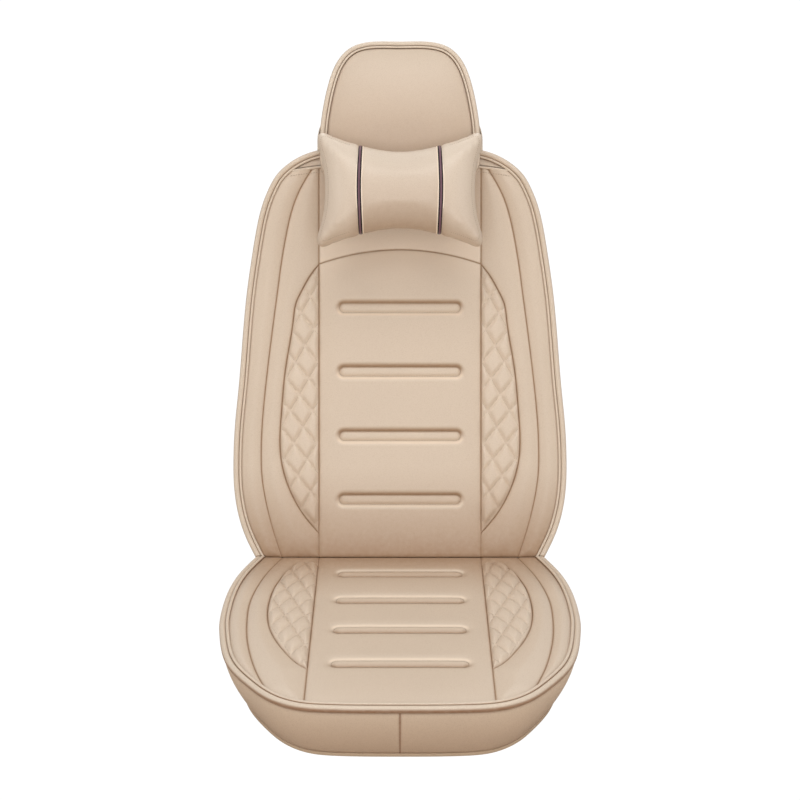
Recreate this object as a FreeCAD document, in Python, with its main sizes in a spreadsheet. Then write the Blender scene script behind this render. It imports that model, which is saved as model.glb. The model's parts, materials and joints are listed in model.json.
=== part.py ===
"""Front seat cover set: cushion cover, backrest cover, headrest cover and neck pillow.

Millimetres.  X runs to the right, Y to the rear and Z up.  The origin is the middle of the bite
line, where the cushion cover meets the backrest cover.  Three frames are used:

* the seat frame lies in the top face of the cushion, its Y pointing back along the cushion;
* the back frame lies in the front face of the backrest, its Y pointing up along the backrest and
  its Z towards the sitter;
* the world frame, for what hangs under the cushion.
"""
import FreeCAD, Part
import math
import os

from FreeCAD import Placement, Rotation, Vector

SIZES = (
    # alias, value, what it measures
    ("seat_tilt", 3, "degrees the cushion rises towards its front"),
    ("back_recline", 22, "degrees the backrest leans back from upright"),
    ("bite_gap", 0.5, "clearance of each cover from the bite line"),
    ("seam_gap", 0.3, "clearance between neighbouring pieces"),
    ("panel_thick", 6, "leather laminated to its foam"),
    ("sponge_thick", 8, "extra sponge behind the centre panels"),
    ("wall_thick", 4, "side walls and rear panels"),
    ("wall_inset", 2, "side walls stand this far inside the outer welt"),
    ("outer_welt_width", 9, "outer piping cord"),
    ("inner_welt_width", 4.4, "inner piping cord"),
    ("welt_crown", 5, "piping above the face plane"),
    ("centre_half_width", 130, "centre panels, bite line to seam"),
    ("quilt_crown", 6, "quilted crescents above the face plane"),
    ("inner_crown", 8, "inner bolsters above the face plane"),
    ("outer_crown", 14, "outer bolsters above the face plane"),
    ("groove_count", 4, "sewn channels on each centre panel"),
    ("groove_half_length", 97, "sewn channels"),
    ("groove_width", 15, "sewn channels"),
    ("groove_depth", 3, "sewn channels"),
    ("back_half_width", 266.4, "backrest cover at its widest"),
    ("back_height", 658, "backrest cover above the bite line"),
    ("back_thick", 100, "backrest cover, front face to rear face"),
    ("back_bolster_half", 222, "backrest bolster seam at its widest"),
    ("back_bolster_height", 616, "backrest bolster seam where it meets the slot hem"),
    ("back_quilt_low", 38, "lower tip of the backrest crescents"),
    ("back_quilt_high", 469, "upper tip of the backrest crescents"),
    ("back_quilt_bulge", 62, "backrest crescents beyond the centre seam"),
    ("back_arch_rise", 23, "arched seam above the crescents' upper tips"),
    ("back_groove_first", 92, "lowest channel above the bite line"),
    ("back_groove_pitch", 102.4, "channels of the backrest"),
    ("slot_height", 634, "headrest slot at its middle"),
    ("slot_half_width", 172, "headrest slot"),
    ("slot_drop", 14, "headrest slot, middle above ends"),
    ("slot_gap", 10, "headrest slot held open"),
    ("rear_drop", 28, "rear panel below the bite line"),
    ("pocket_half_width", 170, "map pocket"),
    ("pocket_low", 60, "map pocket, lower edge"),
    ("pocket_high", 330, "map pocket, mouth"),
    ("pocket_gap", 9, "room in the map pocket"),
    ("pocket_sheet", 3, "map pocket sheet and rims"),
    ("pocket_elastic_height", 12, "elastic mouth of the map pocket"),
    ("seat_half_width", 267, "cushion cover at its widest"),
    ("seat_length", 496, "cushion cover, bite line to front edge"),
    ("seat_bolster_half", 227, "cushion bolster seam at its widest"),
    ("seat_bolster_length", 430, "cushion bolster seam along the cushion"),
    ("seat_quilt_near", 17, "rear tip of the cushion crescents"),
    ("seat_quilt_far", 381, "front tip of the cushion crescents"),
    ("seat_quilt_bulge", 68, "cushion crescents beyond the centre seam"),
    ("seat_groove_first", 64, "rearmost channel from the bite line"),
    ("seat_groove_pitch", 100, "channels of the cushion"),
    ("hem_level", 66, "bite line above the hem"),
    ("hem_height", 6, "hem binding"),
    ("hem_thick", 5, "hem binding"),
    ("skirt_taper", 27, "hem drawn in under the cushion"),
    ("flap_half_width", 118, "tuck flap"),
    ("flap_thick", 3, "tuck flap"),
    ("flap_length", 34, "tuck flap"),
    ("flap_setback", 2, "tuck flap in front of the bite line"),
    ("anchor_offset", 70, "anchors from the middle"),
    ("anchor_cord_radius", 2, "elastic cord of the anchors"),
    ("anchor_drop", 10, "toggle below the tuck flap"),
    ("toggle_half_length", 25, "anchor toggles"),
    ("toggle_half_width", 8, "anchor toggles"),
    ("toggle_thick", 6, "anchor toggles"),
    ("knot_radius", 4, "knot under each toggle"),
    ("running_gap", 0.4, "clearance of pieces that slide or turn"),
    ("web_width", 20, "webbing under the cushion"),
    ("web_thick", 1.5, "webbing and elastic straps"),
    ("web_row", 250, "webbing row from the bite line"),
    ("web_level", 52, "webbing row below the bite line"),
    ("socket_length", 40, "buckle socket"),
    ("socket_width", 36, "buckle socket"),
    ("socket_thick", 10, "buckle socket"),
    ("socket_wall", 2, "buckle socket"),
    ("plug_length", 16, "buckle plug behind its prongs"),
    ("plug_thick", 5, "buckle plug"),
    ("prong_length", 26, "buckle prongs"),
    ("prong_width", 3, "buckle prongs"),
    ("hook_offset", 150, "elastic hook loops from the middle"),
    ("hook_loop_level", 36, "hook loops below the bite line"),
    ("hook_loop_length", 24, "hook loops"),
    ("hook_loop_width", 13, "hook loops"),
    ("hook_loop_rim", 2, "hook loops round their window"),
    ("hook_wire_radius", 1.25, "S hooks"),
    ("hook_eye_radius", 2.9, "S hooks, eye centre line"),
    ("hook_shank", 10, "S hooks, straight part"),
    ("hook_bend_radius", 5, "S hooks, open bend"),
    ("head_half_width", 125.5, "headrest cover"),
    ("head_low", 590, "headrest cover, lower edge"),
    ("head_high", 816, "headrest cover, top"),
    ("head_corner", 40, "headrest cover, lower corners"),
    ("head_front", 62, "headrest cover face in front of the backrest face"),
    ("head_rear", 28, "headrest cover rear behind the backrest face"),
    ("head_welt_width", 7.5, "headrest outer piping"),
    ("head_inner_welt", 3.2, "headrest inner piping"),
    ("head_welt_crown", 1.5, "headrest piping above the panel"),
    ("chin_front", 5.3, "lower part of the headrest in front of the backrest face"),
    ("chin_height", 668, "headrest widens to the rear above this"),
    ("head_flap_half", 80, "closing flap"),
    ("pillow_half_width", 127, "neck pillow at its corners"),
    ("pillow_half_height", 88, "neck pillow at its corners"),
    ("pillow_height", 574.5, "middle of the neck pillow above the bite line"),
    ("pillow_rear", 65.8, "rear of the neck pillow in front of the backrest face"),
    ("pillow_thick", 90, "neck pillow"),
    ("pillow_wall", 3, "pillow shell"),
    ("pillow_seam", 62, "piped seams from the pillow's middle"),
    ("pillow_cord", 5.4, "pillow piping along the width"),
    ("pillow_cord_proud", 1.5, "pillow piping proud of the shell"),
    ("band_width", 25, "pillow band"),
    ("band_side", 126.5, "pillow band beside the headrest"),
    ("band_front_height", 640, "pillow band, lower edge at the pillow"),
    ("band_rear_height", 680, "pillow band, lower edge behind the headrest"),
    ("band_rear", 30.4, "pillow band behind the backrest face"),
    ("band_tab", 20, "pillow band behind the pillow's corner"),
    ("band_setback", 0.5, "pillow band behind the pillow"),
    ("slider_offset", 49, "middle of the band slider"),
    ("slider_length", 18, "band slider along the band"),
    ("slider_rim", 3, "band slider"),
    ("zip_half_length", 58, "pillow zip"),
    ("zip_width", 12, "pillow zip"),
    ("zip_thick", 1.2, "pillow zip"),
    ("zip_drop", 45, "pillow zip below the pillow's middle"),
    ("zip_slider_length", 10, "zip slider"),
    ("zip_slider_width", 8, "zip slider"),
    ("zip_slider_thick", 3, "zip slider"),
)

# Half outlines, from the bite line to the middle of the far edge.  Each point is a share of the
# half width and a share of the length.
BACK_EDGE = ((0.868, 0), (0.936, 0.058), (1, 0.205), (0.974, 0.404), (0.921, 0.655),
             (0.861, 0.802), (0.784, 0.9), (0.683, 0.953), (0.507, 0.988), (0.3, 0.998),
             (0, 1))
SEAT_EDGE = ((0.865, 0), (0.944, 0.127), (1, 0.37), (0.985, 0.542), (0.899, 0.751),
             (0.79, 0.853), (0.667, 0.936), (0.49, 0.985), (0, 1))
BACK_BOLSTER = ((0.851, 0), (0.964, 0.141), (1, 0.268), (0.959, 0.471), (0.878, 0.701),
                (0.793, 0.881), (0.649, 1), (0.6, 1.04))
SEAT_BOLSTER = ((0.828, 0), (0.907, 0.121), (1, 0.442), (0.974, 0.672), (0.885, 0.9),
                (0.824, 1), (0.7, 1.13))
# Crescents, tip to tip: share of the bulge beyond the centre seam and share of the length.
BACK_CRESCENT = ((0, 0), (0.339, 0.058), (0.694, 0.144), (0.887, 0.218), (1, 0.353),
                 (0.855, 0.615), (0.661, 0.789), (0.435, 0.903), (0, 1))
SEAT_CRESCENT = ((0, 0), (0.338, 0), (0.779, 0.126), (0.926, 0.261), (1, 0.448),
                 (0.904, 0.643), (0.72, 0.761), (0.426, 0.885), (0, 1))
# Headrest side, from the lower corner up: shares of the half width and of the height.
HEAD_EDGE = ((1, 0.29), (0.992, 0.4), (0.967, 0.504), (0.887, 0.712), (0.745, 0.889),
             (0.606, 0.96), (0.4, 0.996), (0, 1))
# Pillow quarter, from the middle of its top to the middle of its side.
PILLOW_EDGE = ((0, 0.67), (0.488, 0.795), (0.82, 0.955), (0.94, 0.99), (1, 0.9), (0.975, 0.6),
               (0.925, 0.2), (0.92, 0))

LEFT, RIGHT = -1, 1
SIDES = {"left": LEFT, "right": RIGHT}

doc = FreeCAD.newDocument("seat_cover_set")
sheet = doc.addObject("Spreadsheet::Sheet", "Sizes")
for row, (alias, value, note) in enumerate(SIZES, 1):
    sheet.set(f"A{row}", note)
    sheet.set(f"B{row}", str(value))
    sheet.setAlias(f"B{row}", alias)
doc.recompute()
size = {alias: float(sheet.get(alias)) for alias, _, _ in SIZES}
subparts = []

SEAT_FRAME = Placement(Vector(), Rotation(Vector(1, 0, 0), -size["seat_tilt"]))
BACK_FRAME = Placement(Vector(), Rotation(Vector(1, 0, 0), 90 - size["back_recline"]))
WORLD_FRAME = Placement()
REACH = 2 * (size["back_height"] + size["head_high"])    # longer than any piece, for cuts
SIDE_REACH = 2 * size["seat_half_width"]    # well beyond the covers' sides
WELT = size["outer_welt_width"] + size["inner_welt_width"] + 2 * size["seam_gap"]


# ---------------------------------------------------------------- curves
def half_points(shares, half_width, length, way):
    """Right-hand half outline; way is 1 along +Y and -1 along -Y."""
    start = size["bite_gap"]
    return [Vector(w * half_width, way * max(share * length, start), 0) for w, share in shares]


def spline(points):
    """Smooth curve through the points."""
    curve = Part.BSplineCurve()
    curve.interpolate(points)
    return curve


def mirrored(points):
    """Right-hand half outline carried on over the middle to the left."""
    return points + [Vector(-p.x, p.y, 0) for p in reversed(points[:-1])]


def edge_curve(shares, half_width, length, way):
    """Whole outline of a cover, from the bite line round to the bite line."""
    return spline(mirrored(half_points(shares, half_width, length, way)))


def closed(*curves):
    """The curves and a straight line from the last end back to the first start."""
    return list(curves) + [Part.LineSegment(curves[-1].EndPoint, curves[0].StartPoint)]


def polygon(*corners):
    """Closed straight outline through (x, y) corners."""
    points = [Vector(x, y, 0) for x, y in corners]
    return [Part.LineSegment(a, b) for a, b in zip(points, points[1:] + points[:1])]


def rectangle(x_low, x_high, y_low, y_high):
    """Closed rectangle."""
    return polygon((x_low, y_low), (x_high, y_low), (x_high, y_high), (x_low, y_high))


def circle(x, y, radius):
    """Circle in the sketch plane."""
    return [Part.Circle(Vector(x, y, 0), Vector(0, 0, 1), radius)]


def band(shares, half_width, length, way, inset, width):
    """U-shaped strip that follows a cover's outline, inset from it."""
    outer = edge_curve(shares, half_width - inset, length - inset, way)
    inner = edge_curve(shares, half_width - inset - width, length - inset - width, way)
    inner.reverse()
    link = Part.LineSegment(outer.EndPoint, inner.StartPoint)
    return [outer, link, inner, Part.LineSegment(inner.EndPoint, outer.StartPoint)]


def other_side(side):
    """Region that leaves only one side of a piece."""
    edge = side * size["seam_gap"] / 2
    low, high = sorted((edge, -side * REACH))
    return rectangle(low, high, -REACH, REACH)


def middle_strip(half_width):
    """Region of the centre panels."""
    return rectangle(-half_width, half_width, -REACH, REACH)


def core_region(shares, half_width, length, way):
    """Region inside both bolster seams."""
    points = half_points(shares, half_width, length, way)
    right = spline(points)
    left = spline([Vector(-p.x, p.y, 0) for p in reversed(points)])
    return closed(right, Part.LineSegment(right.EndPoint, left.StartPoint), left)


def outside_core(shares, half_width, length, way, side):
    """Region beyond one bolster seam."""
    points = half_points(shares, half_width, length, way)
    seam = spline([Vector(side * p.x, p.y, 0) for p in points])
    far = Vector(side * REACH, seam.EndPoint.y + way * REACH, 0)
    top = Vector(seam.EndPoint.x, far.y, 0)
    foot = Vector(far.x, seam.StartPoint.y - way * REACH, 0)
    heel = Vector(seam.StartPoint.x, foot.y, 0)
    corners = [seam.EndPoint, top, far, foot, heel, seam.StartPoint]
    return [seam] + [Part.LineSegment(a, b) for a, b in zip(corners, corners[1:])]


def crescent(shares, inner, bulge, low, high, way, side):
    """Region between the centre seam and a crescent's arc."""
    points = [Vector(side * (inner + w * bulge), way * (low + share * (high - low)), 0)
              for w, share in shares]
    return closed(spline(points))


def above_arc(height, far_height):
    """Region above the slot's arc, up to far_height at its ends."""
    stretch = SIDE_REACH / size["slot_half_width"]
    ends = height - size["slot_drop"] * stretch ** 2
    left, right = Vector(-SIDE_REACH, ends, 0), Vector(SIDE_REACH, ends, 0)
    arc = Part.Arc(left, Vector(0, height, 0), right)
    top = far_height
    return [arc, Part.LineSegment(right, Vector(right.x, top, 0)),
            Part.LineSegment(Vector(right.x, top, 0), Vector(left.x, top, 0)),
            Part.LineSegment(Vector(left.x, top, 0), left)]


def x_on(curve, y):
    """Half width of an outline curve at y, found by halving."""
    low = curve.FirstParameter
    high = (curve.FirstParameter + curve.LastParameter) / 2
    for _ in range(50):
        middle = (low + high) / 2
        if abs(curve.value(middle).y) < abs(y):
            low = middle
        else:
            high = middle
    return curve.value(low).x


# ---------------------------------------------------------------- features
def origin_plane(body, role):
    """One of a body's own origin planes."""
    return next(f for f in body.Origin.OriginFeatures if f.Role == role)


def sketch_on(body, name, role, geometry, height):
    """Sketch on an origin plane, lifted by an expression."""
    sketch = body.newObject("Sketcher::SketchObject", name)
    sketch.AttachmentSupport = [(origin_plane(body, role), "")]
    sketch.MapMode = "FlatFace"
    sketch.addGeometry(geometry)
    sketch.setExpression("AttachmentOffset.Base.z", height)
    return sketch


def new_body(name, frame):
    """Body of one sub-part, placed in its frame."""
    body = doc.addObject("PartDesign::Body", name)
    body.Label = name
    body.Placement = frame
    subparts.append(body)
    return body


def add_pad(body, geometry, top, depth, role="XY_Plane"):
    """Pad from the plane at top down by depth; both are expressions."""
    number = len(body.Group)
    pad = body.newObject("PartDesign::Pad", f"{body.Name}_pad{number}")
    pad.Profile = sketch_on(body, f"{body.Name}_outline{number}", role, geometry, top)
    pad.setExpression("Length", depth)
    pad.Reversed = True
    doc.recompute()
    return pad


def add_cut(body, geometry, top="0", depth=None, role="XY_Plane"):
    """Pocket through everything, or from the plane at top down by depth."""
    before = body.Shape.Volume
    number = len(body.Group)
    cut = body.newObject("PartDesign::Pocket", f"{body.Name}_cut{number}")
    cut.Profile = sketch_on(body, f"{body.Name}_cut_outline{number}", role, geometry, top)
    if depth is None:
        cut.Type = "ThroughAll"
        cut.Midplane = True
    else:
        cut.setExpression("Length", depth)
    doc.recompute()
    if not body.Shape.Volume < before:
        raise RuntimeError(f"{body.Name}: a cut removed nothing")
    return cut


def bevel(body, way, crown):
    """Slope a raised piece at the bite line so that the two covers can close on each other."""
    reach = crown + size["bite_gap"]
    geometry = polygon((0, 0), (way * reach, reach), (-way * reach, reach), (-way * reach, 0))
    add_cut(body, geometry, role="YZ_Plane")


def panel(name, frame, geometry, crown, cuts=(), thick="Sizes.panel_thick"):
    """Laminated panel: crown above the face plane, thick below it."""
    body = new_body(name, frame)
    add_pad(body, geometry, crown, f"{crown} + {thick}")
    for region in cuts:
        add_cut(body, region)
    return body


def shape_part(name, shape, frame):
    """Sub-part whose shape is worked out here."""
    feature = doc.addObject("Part::Feature", name)
    feature.Label = name
    feature.Shape = shape
    feature.Placement = frame
    subparts.append(feature)
    return feature


def grooves(body, way, first, pitch):
    """Sewn channels with rounded ends, sunk in a centre panel."""
    radius = size["groove_width"] / 2
    half = size["groove_half_length"] - radius
    geometry = []
    for index in range(int(size["groove_count"])):
        y = way * (first + index * pitch)
        low, high = y - radius, y + radius
        geometry += [
            Part.LineSegment(Vector(-half, low, 0), Vector(half, low, 0)),
            Part.Arc(Vector(half, low, 0), Vector(half + radius, y, 0), Vector(half, high, 0)),
            Part.LineSegment(Vector(half, high, 0), Vector(-half, high, 0)),
            Part.Arc(Vector(-half, high, 0), Vector(-half - radius, y, 0), Vector(-half, low, 0)),
        ]
    add_cut(body, geometry, "0", "Sizes.groove_depth")


# ---------------------------------------------------------------- backrest cover
def build_back_face():
    """Panels of the backrest's front."""
    gap = size["seam_gap"]
    centre = size["centre_half_width"]
    inset = WELT + gap
    inner_edge = closed(edge_curve(BACK_EDGE, size["back_half_width"] - inset,
                                   size["back_height"] - inset, 1))
    low, high = size["back_quilt_low"], size["back_quilt_high"]
    bulge = size["back_quilt_bulge"]
    bolster = (BACK_BOLSTER, size["back_bolster_half"], size["back_bolster_height"])
    hem = above_arc(size["slot_height"] - size["slot_gap"] / 2, REACH)

    arch_low, arch_top = high, high + size["back_arch_rise"]
    half = centre - gap / 2
    arch = Part.Arc(Vector(half, arch_low, 0), Vector(0, arch_top, 0), Vector(-half, arch_low, 0))
    foot = size["bite_gap"]
    left_foot, right_foot = Vector(-half, foot, 0), Vector(half, foot, 0)
    centre_panel = panel("back_centre_panel", BACK_FRAME, [
        arch, Part.LineSegment(arch.EndPoint, left_foot),
        Part.LineSegment(left_foot, right_foot),
        Part.LineSegment(right_foot, arch.StartPoint)], "0")
    grooves(centre_panel, 1, size["back_groove_first"], size["back_groove_pitch"])

    step = Vector(0, gap, 0)
    yoke_arch = Part.Arc(Vector(half, arch_low, 0) + step, Vector(0, arch_top, 0) + step,
                         Vector(-half, arch_low, 0) + step)
    top_left, top_right = Vector(-half, REACH, 0), Vector(half, REACH, 0)
    panel("back_yoke_panel", BACK_FRAME, [
        yoke_arch, Part.LineSegment(yoke_arch.EndPoint, top_left),
        Part.LineSegment(top_left, top_right),
        Part.LineSegment(top_right, yoke_arch.StartPoint)], "0", [hem])

    hood_arc = size["slot_height"] + size["slot_gap"] / 2
    hood = panel("back_hood", BACK_FRAME, inner_edge, "0")
    below = above_arc(hood_arc, -REACH)
    add_cut(hood, below)

    for word, side in SIDES.items():
        panel(f"back_quilt_{word}", BACK_FRAME,
              crescent(BACK_CRESCENT, centre + gap / 2, bulge - gap, low + gap, high - gap, 1,
                       side), "Sizes.quilt_crown")
        quilt_room = crescent(BACK_CRESCENT, centre, bulge + gap / 2, low, high, 1, side)
        inner = panel(f"back_inner_bolster_{word}", BACK_FRAME, core_region(*bolster, 1),
                      "Sizes.inner_crown",
                      [middle_strip(centre + gap / 2), quilt_room, other_side(side), hem])
        bevel(inner, 1, size["inner_crown"])
        wide_bolster = (BACK_BOLSTER, size["back_bolster_half"] + gap,
                        size["back_bolster_height"])
        outer = panel(f"back_outer_bolster_{word}", BACK_FRAME, inner_edge,
                      "Sizes.outer_crown",
                      [core_region(*wide_bolster, 1), other_side(side), hem])
        bevel(outer, 1, size["outer_crown"])

    behind = "-(Sizes.panel_thick + Sizes.seam_gap)"
    sponge = new_body("back_centre_sponge", BACK_FRAME)
    margin = size["panel_thick"] + size["sponge_thick"]
    add_pad(sponge, rectangle(-half, half, margin, arch_low), behind, "Sizes.sponge_thick")


def build_piping(prefix, frame, shares, half_width, length, way):
    """Double piping round a cover."""
    gap = size["seam_gap"]
    crown = "Sizes.welt_crown"
    outer = panel(f"{prefix}_welt_outer", frame,
                  band(shares, half_width, length, way, 0, size["outer_welt_width"]), crown)
    bevel(outer, way, size["welt_crown"])
    inner = panel(f"{prefix}_welt_inner", frame,
                  band(shares, half_width, length, way, size["outer_welt_width"] + gap,
                       size["inner_welt_width"]), crown)
    bevel(inner, way, size["welt_crown"])


def build_back_shell():
    """Side walls, rear panel and map pocket of the backrest cover."""
    gap = size["seam_gap"]
    width, height = size["back_half_width"], size["back_height"]
    behind = "-(Sizes.panel_thick + Sizes.seam_gap)"
    deep = "Sizes.back_thick - Sizes.panel_thick - Sizes.wall_thick - 2 * Sizes.seam_gap"
    for word, side in SIDES.items():
        wall = new_body(f"back_gusset_{word}", BACK_FRAME)
        add_pad(wall, band(BACK_EDGE, width, height, 1, size["wall_inset"],
                           size["wall_thick"]), behind, deep)
        add_cut(wall, other_side(side))

    edge = edge_curve(BACK_EDGE, width - size["wall_inset"], height - size["wall_inset"], 1)
    drop = Vector(0, -size["rear_drop"] - size["bite_gap"], 0)
    left_low, right_low = edge.EndPoint + drop, edge.StartPoint + drop
    rear = new_body("back_rear_panel", BACK_FRAME)
    add_pad(rear, [edge, Part.LineSegment(edge.EndPoint, left_low),
                   Part.LineSegment(left_low, right_low),
                   Part.LineSegment(right_low, edge.StartPoint)],
            "-(Sizes.back_thick - Sizes.wall_thick)", "Sizes.wall_thick")

    half, sheet_thick = size["pocket_half_width"], size["pocket_sheet"]
    low, high = size["pocket_low"], size["pocket_high"]
    pocket = new_body("rear_pocket", BACK_FRAME)
    add_pad(pocket, rectangle(-half, half, low, high), "-(Sizes.back_thick + Sizes.seam_gap)",
            "Sizes.pocket_gap + Sizes.pocket_sheet")
    add_cut(pocket, rectangle(-half + sheet_thick, half - sheet_thick, low + sheet_thick,
                              high + sheet_thick),
            "-(Sizes.back_thick + Sizes.seam_gap)", "Sizes.pocket_gap")
    elastic = new_body("pocket_elastic", BACK_FRAME)
    add_pad(elastic, rectangle(-half, half, high + gap, high + size["pocket_elastic_height"]),
            "-(Sizes.back_thick + Sizes.seam_gap + Sizes.pocket_gap)", "Sizes.pocket_sheet")


def build_hooks():
    """Elastic loops inside the rear hem, each with an S hook hanging from it."""
    recline = math.radians(size["back_recline"])
    level = -size["hook_loop_level"]
    inner_depth = size["back_thick"] - size["wall_thick"] - size["seam_gap"]
    up = (level + inner_depth * math.sin(recline)) / math.cos(recline)
    rear_y = up * math.sin(recline) + inner_depth * math.cos(recline)
    rear_y -= size["web_thick"] * math.tan(recline)
    front_y = rear_y - size["hook_loop_length"]
    half, rim = size["hook_loop_width"] / 2, size["hook_loop_rim"]
    eye, wire = size["hook_eye_radius"], size["hook_wire_radius"]
    window = 2 * (eye + wire)
    bridge_z = level - size["web_thick"] / 2
    for word, side in SIDES.items():
        x = side * size["hook_offset"]
        loop = new_body(f"hook_loop_{word}", WORLD_FRAME)
        add_pad(loop, rectangle(x - half, x + half, front_y, rear_y),
                "-Sizes.hook_loop_level", "Sizes.web_thick")
        add_cut(loop, rectangle(x - half + rim, x + half - rim, front_y + rim,
                                front_y + rim + window))
        ring = Part.makeTorus(eye, wire, Vector(0, 0, 0), Vector(1, 0, 0))
        shank_end = -eye - size["hook_shank"]
        bend = size["hook_bend_radius"]
        shank = Part.makeLine(Vector(0, 0, -eye), Vector(0, 0, shank_end))
        curl = Part.Arc(Vector(0, 0, shank_end), Vector(0, -bend, shank_end - bend),
                        Vector(0, -2 * bend, shank_end)).toShape()
        spine = Part.Wire([shank, curl])
        profile = Part.Wire(Part.makeCircle(wire, Vector(0, 0, -eye), Vector(0, 0, 1)))
        hook = ring.fuse(spine.makePipeShell([profile], True, True)).removeSplitter()
        shape_part(f"hook_{word}", hook,
                   Placement(Vector(x, front_y + rim / 2, bridge_z), Rotation()))


# ---------------------------------------------------------------- cushion cover
def build_seat_face():
    """Panels of the cushion's top."""
    gap = size["seam_gap"]
    centre = size["centre_half_width"]
    inset = WELT + gap
    inner_edge = closed(edge_curve(SEAT_EDGE, size["seat_half_width"] - inset,
                                   size["seat_length"] - inset, -1))
    near, far = size["seat_quilt_near"], size["seat_quilt_far"]
    bulge = size["seat_quilt_bulge"]
    narrow = (SEAT_BOLSTER, size["seat_bolster_half"], size["seat_bolster_length"])
    wide = (SEAT_BOLSTER, size["seat_bolster_half"] + gap, size["seat_bolster_length"])
    strips = [rectangle(side * (centre - gap / 2), side * REACH, -REACH, REACH)
              for side in SIDES.values()]
    centre_panel = panel("seat_centre_panel", SEAT_FRAME, inner_edge, "0", strips)
    grooves(centre_panel, -1, size["seat_groove_first"], size["seat_groove_pitch"])

    for word, side in SIDES.items():
        panel(f"seat_quilt_{word}", SEAT_FRAME,
              crescent(SEAT_CRESCENT, centre + gap / 2, bulge - gap, near + gap, far - gap, -1,
                       side), "Sizes.quilt_crown")
        quilt_room = crescent(SEAT_CRESCENT, centre, bulge + gap / 2, near, far, -1, side)
        inner = panel(f"seat_inner_bolster_{word}", SEAT_FRAME, inner_edge,
                      "Sizes.inner_crown",
                      [middle_strip(centre + gap / 2), quilt_room, other_side(side),
                       outside_core(*narrow, -1, side)])
        bevel(inner, -1, size["inner_crown"])
        outer = panel(f"seat_outer_bolster_{word}", SEAT_FRAME, inner_edge,
                      "Sizes.outer_crown", [core_region(*wide, -1), other_side(side)])
        bevel(outer, -1, size["outer_crown"])

    half = centre - gap / 2
    rear = size["flap_setback"] + size["flap_thick"] + gap
    front = size["seat_length"] - inset - size["sponge_thick"]
    sponge = new_body("seat_centre_sponge", SEAT_FRAME)
    add_pad(sponge, rectangle(-half, half, -front, -rear),
            "-(Sizes.panel_thick + Sizes.seam_gap)", "Sizes.sponge_thick")


def skirt_core(offset, rear, top_frame, bottom_frame):
    """Solid inside the skirt at an offset from its outer face, from rear forwards."""
    wires = []
    for inset, frame in ((offset, top_frame), (offset + size["skirt_taper"], bottom_frame)):
        edge = edge_curve(SEAT_EDGE, size["seat_half_width"] - inset,
                          size["seat_length"] - inset, -1)
        corners = [edge.EndPoint, Vector(edge.EndPoint.x, rear, 0),
                   Vector(edge.StartPoint.x, rear, 0), edge.StartPoint]
        sides = [Part.makeLine(a, b) for a, b in zip(corners, corners[1:])]
        wire = Part.Wire([edge.toShape()] + sides)
        wire.Placement = frame
        wires.append(wire)
    return Part.makeLoft(wires, True, True)


def build_skirt():
    """Skirt halves drawn in towards the hem, and the hem binding."""
    gap, thick = size["seam_gap"], size["wall_thick"]
    inset, taper = size["wall_inset"], size["skirt_taper"]
    width, length = size["seat_half_width"], size["seat_length"]
    below = SEAT_FRAME.multVec(Vector(0, 0, -size["panel_thick"] - gap))
    frames = (Placement(below, SEAT_FRAME.Rotation),
              Placement(Vector(0, 0, size["hem_height"] - size["hem_level"]), Rotation()))
    wall = skirt_core(inset, thick, *frames).cut(skirt_core(inset + thick, 2 * thick, *frames))
    drawn = inset + taper
    for word, side in SIDES.items():
        corner = -REACH if side > 0 else -gap / 2
        other_half = Part.makeBox(REACH, REACH, REACH, Vector(corner, -REACH / 2, -REACH / 2))
        other_half.translate(Vector(max(side, 0) * gap / 2, 0, 0))
        behind = Part.makeBox(REACH, REACH, REACH,
                              Vector(-REACH / 2, -size["bite_gap"], -REACH / 2))
        shape_part(f"skirt_{word}", wall.cut([other_half, behind]), WORLD_FRAME)

    proud = (size["hem_thick"] - thick) / 2
    binding = new_body("hem_binding", WORLD_FRAME)
    add_pad(binding, band(SEAT_EDGE, width, length, -1, drawn - proud, size["hem_thick"]),
            "-(Sizes.hem_level - Sizes.hem_height + Sizes.seam_gap)",
            "Sizes.hem_height - Sizes.seam_gap")


def build_tuck_flap():
    """Flap that goes down through the bite, with its two anchors."""
    gap = size["seam_gap"]
    half = size["flap_half_width"]
    front = -size["flap_setback"] - size["flap_thick"]
    flap_top = "-(Sizes.panel_thick + 2 * Sizes.seam_gap)"
    flap = new_body("tuck_flap", WORLD_FRAME)
    add_pad(flap, rectangle(-half, half, front, -size["flap_setback"]), flap_top,
            "Sizes.flap_length")
    flap_foot = -size["panel_thick"] - 2 * gap - size["flap_length"]
    middle = -size["flap_setback"] - size["flap_thick"] / 2
    cord, knot = size["anchor_cord_radius"], size["knot_radius"]
    toggle_top = flap_foot - size["anchor_drop"]
    toggle_foot = toggle_top - size["toggle_thick"]
    knot_z = toggle_foot - size["running_gap"] - knot
    for word, side in SIDES.items():
        x = side * size["anchor_offset"]
        line = Part.makeCylinder(cord, flap_foot - gap - knot_z, Vector(x, middle, knot_z))
        knob = Part.makeSphere(knot, Vector(x, middle, knot_z))
        shape_part(f"anchor_cord_{word}", line.fuse(knob), WORLD_FRAME)
        toggle = new_body(f"anchor_toggle_{word}", WORLD_FRAME)
        reach, radius = size["toggle_half_length"], size["toggle_half_width"]
        straight = reach - radius
        low, high = middle - radius, middle + radius
        outline = [
            Part.LineSegment(Vector(x - straight, low, 0), Vector(x + straight, low, 0)),
            Part.Arc(Vector(x + straight, low, 0), Vector(x + reach, middle, 0),
                     Vector(x + straight, high, 0)),
            Part.LineSegment(Vector(x + straight, high, 0), Vector(x - straight, high, 0)),
            Part.Arc(Vector(x - straight, high, 0), Vector(x - reach, middle, 0),
                     Vector(x - straight, low, 0)),
        ]
        add_pad(toggle, outline, f"{toggle_top}", "Sizes.toggle_thick")
        add_cut(toggle, circle(x, middle, cord + size["running_gap"]))


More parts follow.
